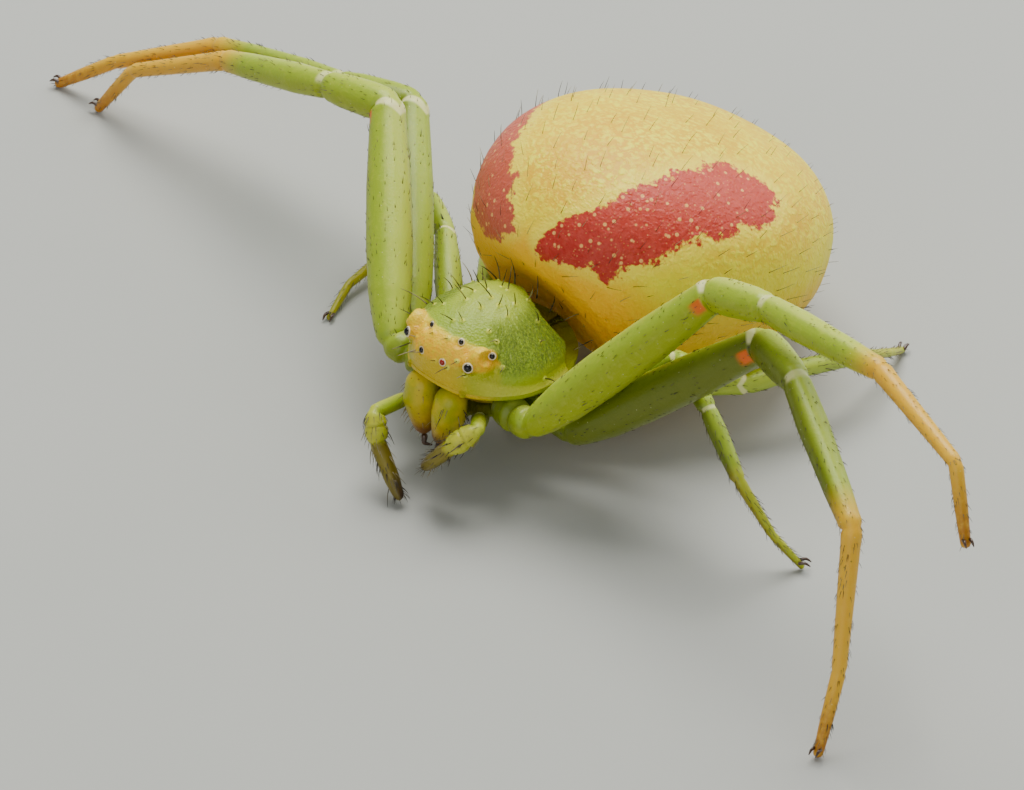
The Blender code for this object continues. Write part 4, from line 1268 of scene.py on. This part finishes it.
def make_claws(leg, colours):
    """Two small hooks over the end of the foot, each its own mesh."""
    points = leg_points(leg)
    radius = LEG_RADIUS[int(leg[1])] * LEG_PROFILE[-1][1]
    ankle, tip = points[-2], points[-1]
    way = unit(tip - ankle)
    side = unit(np.cross(way, (0.0, 0.0, 1.0)))
    out = unit(way * (1, 1, 0))
    profile = [(station, CLAW_RADIUS * share) for station, share in CLAW_PROFILE]
    for hand, name in ((1, "inner"), (-1, "outer")):
        apart = side * hand * CLAW_SPREAD
        root = tip - way * CLAW_BACK + apart + (0, 0, radius * 0.3)
        middle = root + out * CLAW_LENGTH * 0.6 + apart * 0.5 + (0, 0, CLAW_RISE)
        end = middle + out * CLAW_LENGTH * 0.45 - (0, 0, CLAW_DROP)
        form = limb_form((root, middle, end), profile, 0.008, 0.06, ())
        rings = limb_rings(form, 10)
        rings[..., 2] = np.maximum(rings[..., 2], 0.0)
        closed_skin(f"leg_{leg}_claw_{name}", rings, horn_look(colours))


def horn_look(colours):
    """Dark, glossy brown, shared by the claws and fangs."""
    known = bpy.data.materials.get("horn_brown")
    if known:
        return known
    look = Look("horn_brown", coat_weight=0.5, coat_roughness=0.15)
    place = look.place()
    grain = look.noise(place, 30.0, 3.0)
    tone = look.mix(grain, colours.horn, HORN_PALE)
    return look.finish(base_color=tone, roughness=0.2 + 0.2 * grain, normal=look.bump(grain, 0.003, 0.5))


def palp_form(letter):
    """The limb form of a palp, grooved at its joints."""
    grooves = ((1.0, 0.14, 0.02), (1.45, 0.1, 0.02), (2.0, 0.12, 0.018))
    return limb_form(PALP_POINTS[letter], PALP_PROFILE, FINE_STEP, 0.09, grooves)


def make_palps(colours):
    """Two palps, each one skin."""
    for letter in PALP_POINTS:
        form = palp_form(letter)
        rings = limb_rings(form, PALP_COLUMNS)
        rings[..., 2] = np.maximum(rings[..., 2], 0.0)
        station = np.broadcast_to(form["station"][:, None], rings.shape[:2])
        top = np.broadcast_to(np.cos(np.arange(PALP_COLUMNS) * TAU / PALP_COLUMNS - math.pi)[None],
                              rings.shape[:2])
        skin = closed_skin(f"palp_{letter}_skin", rings, palp_look(colours, letter),
                           values={"station": station, "top": top})
        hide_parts(*[f"palp_{letter}_{part}" for part in PALP_PARTS])


def palp_look(colours, letter):
    """Green with a yellower tibia and an olive last length that darkens to its tip."""
    look = Look(f"palp_{letter}_green", roughness=0.35, subsurface_weight=0.35, subsurface_scale=0.15 * MM,
                subsurface_radius=(0.7, 0.9, 0.2), coat_weight=0.1, coat_roughness=0.2,
                specular_ior_level=0.3)
    place = look.place()
    station = look.carried("station")
    top = look.carried("top")
    fine = look.noise(place, 18.0, 4.0, 0.6)
    green = look.mix(look.step(top, 0.2, 0.95) * 0.6, colours.leg, PALP_TOP)
    green = look.mix(look.step(top, 0.0, -0.7), green, colours.leg_below)
    green = look.mix(look.step(station, 0.9, 1.25) * 0.4, green, PALP_TIBIA)
    olive = look.mix(look.step(station + 0.35 * fine, 2.6, 3.1), PALP_OLIVE, PALP_TIP)
    olive = look.mix(look.step(top, 0.3, 0.95) * 0.3, olive, PALP_OLIVE_TOP)
    base = look.mix(look.step(station + 0.1 * fine, 2.0, 2.14), green, olive)
    base = look.mix(look.step(fine, 0.55, 0.7) * 0.35, base, PALP_FLECK)
    return look.finish(base_color=base, roughness=0.3 + 0.25 * fine, normal=look.bump(fine, 0.01, 0.6))


def jaw_form(side):
    """The limb form of a jaw, with its front as the upper side."""
    points = [mirrored(point, side) for point in (JAW_TOP, JAW_BEND, JAW_TIP)]
    return limb_form(points, JAW_PROFILE, FINE_STEP, 0.08, (), up_hint=(0, -1, 0))


def make_jaws(colours):
    """Two jaws with a fang each."""
    look = Look("jaw_ochre", subsurface_weight=0.2, subsurface_scale=0.15 * MM,
                subsurface_radius=(1.0, 0.6, 0.1), coat_weight=0.12, coat_roughness=0.2,
                specular_ior_level=0.3)
    place = look.place()
    station = look.carried("station")
    fine = look.noise(place, 14.0, 4.0, 0.6)
    broad = look.noise(place, 3.5, 3.0)
    base = look.mix(look.step(broad, 0.35, 0.65), JAW_GOLD, JAW_GREEN)
    base = look.mix(look.step(station + 0.5 * (fine - 0.5), 0.8, 1.7), base, colours.jaw)
    base = look.mix(look.step(station + 0.3 * (fine - 0.5), 1.4, 1.85) * 0.9, base, JAW_BROWN)
    base = look.mix(look.step(look.cells(place, 9.0), 0.16, 0.08) * 0.6, base, JAW_DOT)
    relief = fine * 0.6 + look.noise(place, 30.0, 3.0) * 0.4
    material = look.finish(base_color=base, roughness=0.28 + 0.25 * fine,
                           normal=look.bump(relief, 0.014, 0.8))
    for letter, side in SIDES.items():
        form = jaw_form(side)
        rings = limb_rings(form, JAW_COLUMNS)
        station = np.broadcast_to(form["station"][:, None], rings.shape[:2])
        jaw = closed_skin(f"jaw_{letter}_skin", rings, material, values={"station": station})
        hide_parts(f"chelicera_{letter}")
        points = [mirrored(point, side) for point in (JAW_TIP, FANG_BEND, FANG_TIP)]
        fang_form = limb_form(points, FANG_PROFILE, 0.5 * FINE_STEP, 0.06, ())
        fang = closed_skin(f"fang_{letter}_skin", limb_rings(fang_form, 16), horn_look(colours))
        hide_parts(f"fang_{letter}")


def make_underside(colours):
    """The breast plate with lip and palp bases, the waist and the spinnerets."""
    look = Look("underside_yellow", subsurface_weight=0.25, subsurface_scale=0.2 * MM,
                subsurface_radius=(1.0, 0.8, 0.15), coat_weight=0.15, coat_roughness=0.3)
    place = look.place()
    fine = look.noise(place, 14.0, 4.0, 0.6)
    base = look.mix(look.noise(place, 3.0), UNDER_GREEN, colours.leg_below)
    base = look.mix(look.step(fine, 0.55, 0.7) * 0.4, base, UNDER_FLECK)
    material = look.finish(base_color=base, roughness=0.3 + 0.25 * fine, normal=look.bump(fine, 0.012, 0.6))
    for name in ("sternum", "pedicel", "spinnerets"):
        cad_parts[name].data.materials.clear()
        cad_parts[name].data.materials.append(material)


def bristle_look(colours, name, pale):
    """Dark horn, with a share of the bristles paler."""
    look = Look(name, coat_weight=0.1)
    place = look.place()
    spot = look.noise(place, 3.0, 2.0)
    tone = look.mix(look.step(spot, 0.45, 0.6) * pale, colours.horn, BRISTLE_PALE)
    return look.finish(base_color=tone, roughness=0.35 + 0.2 * spot)


def shield_bristles(colours, sizes):
    """Long curved bristles that stand on the shield's bumps and lean forward."""
    share, turn, length = shield_spots()
    roots = carapace_point(share, turn)
    normal = surface_normal(carapace_point, share, turn, np.array(EYE_AIM))
    draw = np.random.default_rng(12)
    count = len(roots)
    lean = np.interp(roots[:, 1], (0.3, 1.9), (0.55, 0.05))
    forward = np.stack([lean * 0, -lean, np.full(count, 0.35)], 1)
    ways = unit(normal * 0.8 + forward + draw.normal(0, 0.24, (count, 3)))
    bends = unit(np.cross(ways, draw.normal(size=(count, 3)))) * 0.1 + (0, -0.2, -0.05)
    lengths = sizes.shield_bristle * length * draw.uniform(0.85, 1.1, count)
    widths = 0.007 + 0.012 * length
    spots = np.stack([turn / TAU % 1.0, share], 1)
    bristles("carapace_bristles", roots + normal * 0.012, ways, bends, lengths, widths, spots,
             bristle_look(colours, "shield_bristle", 0.55), levels=7, corners=5)


def abdomen_bristles(colours, sizes):
    """Thin bristles set evenly over the abdomen, leaning back."""
    count = sizes.abdomen_count
    index = np.arange(count) + 0.5
    polar = np.arccos(1 - 2 * index / count)
    turn = (index * TAU * 0.6180339887) % TAU
    draw = np.random.default_rng(21)
    polar = np.clip(polar + draw.normal(0, 0.035, count), 0.05, 3.0)
    turn = turn + draw.normal(0, 0.05, count)
    roots = abdomen_point(polar, turn)
    normal = surface_normal(abdomen_point, polar, turn, np.array(ABDOMEN_MIDDLE))
    ways = unit(normal * 0.6 + (0, 0.55, 0.3) + draw.normal(0, 0.12, (count, 3)))
    bends = np.tile((0.0, 0.12, -0.05), (count, 1)) + draw.normal(0, 0.05, (count, 3))
    lengths = sizes.abdomen_bristle / MM * draw.uniform(0.6, 1.15, count)
    lengths = lengths * np.interp(roots[:, 1], ABDOMEN_MIDDLE[1] + np.array((0.3, 2.2)), (1.0, 0.35))
    keep = (roots[:, 2] > EYE_HEIGHT - 1.2) & (roots[:, 1] < ABDOMEN_MIDDLE[1] + 2.55)
    spots = np.stack([turn / TAU % 1.0, polar / math.pi], 1)
    bristles("abdomen_bristles", roots[keep], ways[keep], bends[keep], lengths[keep],
             np.full(keep.sum(), 0.0052), spots[keep], bristle_look(colours, "abdomen_bristle", 0.6),
             levels=5)


def limb_hairs(name, form, draw, along, angle, stand, lengths, widths, reach, look, levels=4):
    """Hairs on a limb at distances along it and angles from its top, leaning toward its end.

    Those that would stick into the floor are left out. The map's u is the angle, and its v the
    station over the last one.
    """
    roots, out, forward = on_limb(form, along, angle)
    ways = unit(out * stand[:, None] + forward + draw.normal(0, 0.1, (len(along), 3)))
    bends = forward * 0.2 - out * 0.12
    tips = roots + (ways + bends) * lengths[:, None]
    keep = (roots[:, 2] > 0.03) & (tips[:, 2] > 0.01)
    station = np.interp(along, form["along"], form["station"])
    spots = np.stack([(angle / TAU + 0.5) % 1.0, station / reach], 1)
    bristles(name, roots[keep], ways[keep], bends[keep], lengths[keep], widths[keep], spots[keep],
             look, levels=levels, corners=3)


def leg_hairs(colours, sizes):
    """Short hairs in rows along each leg, longer ones on the two rear pairs."""
    look = bristle_look(colours, "leg_hair", 0.35)
    for number, leg in enumerate(LEG_HEADINGS):
        form = leg_form(leg)
        front = int(leg[1]) < 3
        draw = np.random.default_rng(40 + number)
        count = sizes.leg_count if front else int(sizes.leg_count * 0.6)
        start, end = form["marks"][1] * 0.9, form["marks"][-1] - 0.02
        along = np.sort(draw.uniform(start, end, count))
        angle = np.round(draw.uniform(-math.pi, math.pi, count) / (TAU / 14)) * TAU / 14
        angle = angle + draw.normal(0, 0.09, count)
        station = np.interp(along, form["along"], form["station"])
        lengths = sizes.leg_hair / MM * (0.55 if front else 0.65) * draw.uniform(0.6, 1.4, count)
        lengths = lengths * np.where(station > 3.2, 1.25, 0.8)
        long_ones = draw.uniform(size=count) < 0.06
        lengths = np.where(long_ones & (station < 3.5), lengths * 1.9, lengths)
        widths = np.where(station < 3, 0.0055, 0.005) * np.where(long_ones, 1.35, 1.0)
        limb_hairs(f"leg_{leg}_hairs", form, draw, along, angle, np.where(station < 2, 0.5, 0.7),
                   lengths, widths, LEG_END, look)


def face_hairs(colours, sizes):
    """Bristles of the palps, longest on their last lengths, and of the jaws' front sides."""
    look = bristle_look(colours, "palp_hair", 0.45)
    for number, letter in enumerate(SIDES):
        draw = np.random.default_rng(70 + number)
        form = palp_form(letter)
        count = sizes.palp_count
        along = np.sort(draw.uniform(form["marks"][1], form["marks"][-1] - 0.01, count))
        station = np.interp(along, form["along"], form["station"])
        lengths = np.where(station > 2, 0.12, 0.09) * draw.uniform(0.7, 1.3, count)
        long_ones = draw.uniform(size=count) < 0.12
        lengths = np.where(long_ones, lengths * 1.9, lengths)
        widths = np.where(long_ones, 0.009, 0.006)
        limb_hairs(f"palp_{letter}_hairs", form, draw, along, draw.uniform(-math.pi, math.pi, count),
                   np.full(count, 0.75), lengths, widths, 3, look)
        form = jaw_form(SIDES[letter])
        count = sizes.palp_count // 3
        along = np.sort(draw.uniform(form["marks"][1] * 0.5, form["marks"][-1], count))
        angle = draw.normal(0, 0.8, count)
        lengths = draw.uniform(0.07, 0.17, count)
        limb_hairs(f"jaw_{letter}_hairs", form, draw, along, angle, np.full(count, 1.1), lengths,
                   np.full(count, 0.0065), 2, look)


def camera_ways(stage):
    """The picture's right and up, and the way from the spider to the camera."""
    a, e = stage.azimuth, stage.elevation
    right = np.array((math.cos(a), math.sin(a), 0.0))
    back = np.array((math.sin(a) * math.cos(e), -math.cos(a) * math.cos(e), math.sin(e)))
    return right, np.cross(back, right), back


def make_stage(stage):
    """A pale floor, three soft lights and the camera."""
    right, up, back = camera_ways(stage)
    scene = bpy.context.scene
    mesh = bpy.data.meshes.new("floor")
    corners = [(FLOOR_HALF * x, FLOOR_HALF * y, 0) for x, y in ((-1, -1), (1, -1), (1, 1), (-1, 1))]
    mesh.from_pydata(corners, [], [(0, 1, 2, 3)])
    look = Look("floor_pale", roughness=0.8)
    tone = look.mix(look.noise(look.place(), 0.15, 2.0), FLOOR_DARK, FLOOR_PALE)
    mesh.materials.append(look.finish(base_color=tone))
    floor = bpy.data.objects.new("floor", mesh)
    scene.collection.objects.link(floor)
    # The front middle eyes lie left of and above the middle of the picture, in pixels
    aside_by, above_by = EYES_FROM_CENTRE
    aim = EYE_MIDPOINT + (right * aside_by - up * above_by) / PIXELS_PER_MM * MM
    camera = bpy.data.cameras.new("camera")
    camera.sensor_width = SENSOR_WIDTH
    camera.lens = SENSOR_WIDTH * stage.distance / stage.view_width
    camera.clip_start, camera.clip_end = CLIP
    eye = bpy.data.objects.new("camera", camera)
    turn = Matrix((right, up, back)).transposed()
    eye.matrix_world = Matrix.Translation(Vector(aim + back * stage.distance)) @ turn.to_4x4()
    scene.collection.objects.link(eye)
    scene.camera = eye
    for name, (way, power, width, colour) in LIGHTS.items():
        lamp = bpy.data.lights.new(name, "AREA")
        lamp.energy = getattr(stage, power)
        lamp.size = width
        lamp.color = colour
        made = bpy.data.objects.new(name, lamp)
        made.location = LIGHT_AIM + unit(way) * LIGHT_DISTANCE
        made.rotation_mode = "QUATERNION"
        made.rotation_quaternion = Vector(way).to_track_quat("Z", "Y")
        scene.collection.objects.link(made)
    world = bpy.data.worlds.new("studio")
    world.use_nodes = True
    background = world.node_tree.nodes["Background"]
    background.inputs["Color"].default_value = WORLD_COLOUR
    background.inputs["Strength"].default_value = WORLD_STRENGTH
    scene.world = world


class SPIDER_OT_carapace(Operator):
    """Builds the head's shield"""

    bl_idname = "spider.carapace"
    bl_label = "Carapace"

    def execute(self, context):
        make_carapace(context.scene.spider_colours)
        return {"FINISHED"}


class SPIDER_OT_eyes(Operator):
    """Builds the eight eyes"""

    bl_idname = "spider.eyes"
    bl_label = "Eyes"

    def execute(self, context):
        make_eyes(context.scene.spider_colours)
        return {"FINISHED"}


class SPIDER_OT_jaws(Operator):
    """Builds the jaws and fangs"""

    bl_idname = "spider.jaws"
    bl_label = "Jaws"

    def execute(self, context):
        make_jaws(context.scene.spider_colours)
        return {"FINISHED"}


class SPIDER_OT_underside(Operator):
    """Finishes the breast plate, the waist and the spinnerets"""

    bl_idname = "spider.underside"
    bl_label = "Underside"

    def execute(self, context):
        make_underside(context.scene.spider_colours)
        return {"FINISHED"}


class SPIDER_OT_abdomen(Operator):
    """Builds the abdomen with its markings"""

    bl_idname = "spider.abdomen"
    bl_label = "Abdomen"

    def execute(self, context):
        make_abdomen(context.scene.spider_colours)
        return {"FINISHED"}


class SPIDER_OT_legs(Operator):
    """Builds the eight legs and their claws"""

    bl_idname = "spider.legs"
    bl_label = "Legs"

    def execute(self, context):
        make_legs(context.scene.spider_colours)
        return {"FINISHED"}


class SPIDER_OT_palps(Operator):
    """Builds the two palps"""

    bl_idname = "spider.palps"
    bl_label = "Palps"

    def execute(self, context):
        make_palps(context.scene.spider_colours)
        return {"FINISHED"}


class SPIDER_OT_bristles(Operator):
    """Builds the bristles and hairs"""

    bl_idname = "spider.bristles"
    bl_label = "Bristles"

    def execute(self, context):
        colours = context.scene.spider_colours
        sizes = context.scene.spider_sizes
        shield_bristles(colours, sizes)
        abdomen_bristles(colours, sizes)
        leg_hairs(colours, sizes)
        face_hairs(colours, sizes)
        return {"FINISHED"}


class SPIDER_OT_stage(Operator):
    """Builds the floor, the lights and the camera"""

    bl_idname = "spider.stage"
    bl_label = "Stage"

    def execute(self, context):
        make_stage(context.scene.spider_stage)
        return {"FINISHED"}


OPERATORS = (SPIDER_OT_stage, SPIDER_OT_carapace, SPIDER_OT_eyes, SPIDER_OT_jaws, SPIDER_OT_underside,
             SPIDER_OT_abdomen, SPIDER_OT_legs, SPIDER_OT_palps, SPIDER_OT_bristles)


class SPIDER_PT_panel(Panel):
    """Lists the spider's pieces and their settings"""

    bl_label = "Crab Spider"
    bl_idname = "SPIDER_PT_panel"
    bl_space_type = "VIEW_3D"
    bl_region_type = "UI"
    bl_category = "Spider"

    def draw(self, context):
        for operator in OPERATORS:
            self.layout.operator(operator.bl_idname)
        for name in ("spider_colours", "spider_sizes", "spider_stage"):
            group = getattr(context.scene, name)
            for key in group.__annotations__:
                self.layout.prop(group, key)


CLASSES = (SpiderColours, SpiderSizes, SpiderStage, *OPERATORS, SPIDER_PT_panel)


def register():
    for made in CLASSES:
        bpy.utils.register_class(made)
    bpy.types.Scene.spider_colours = PointerProperty(type=SpiderColours)
    bpy.types.Scene.spider_sizes = PointerProperty(type=SpiderSizes)
    bpy.types.Scene.spider_stage = PointerProperty(type=SpiderStage)


def unregister():
    del bpy.types.Scene.spider_colours
    del bpy.types.Scene.spider_sizes
    del bpy.types.Scene.spider_stage
    for made in reversed(CLASSES):
        bpy.utils.unregister_class(made)


def main():
    register()
    for operator in OPERATORS:
        group, name = operator.bl_idname.split(".")
        getattr(getattr(bpy.ops, group), name)()


if __name__ == "__main__":
    main()
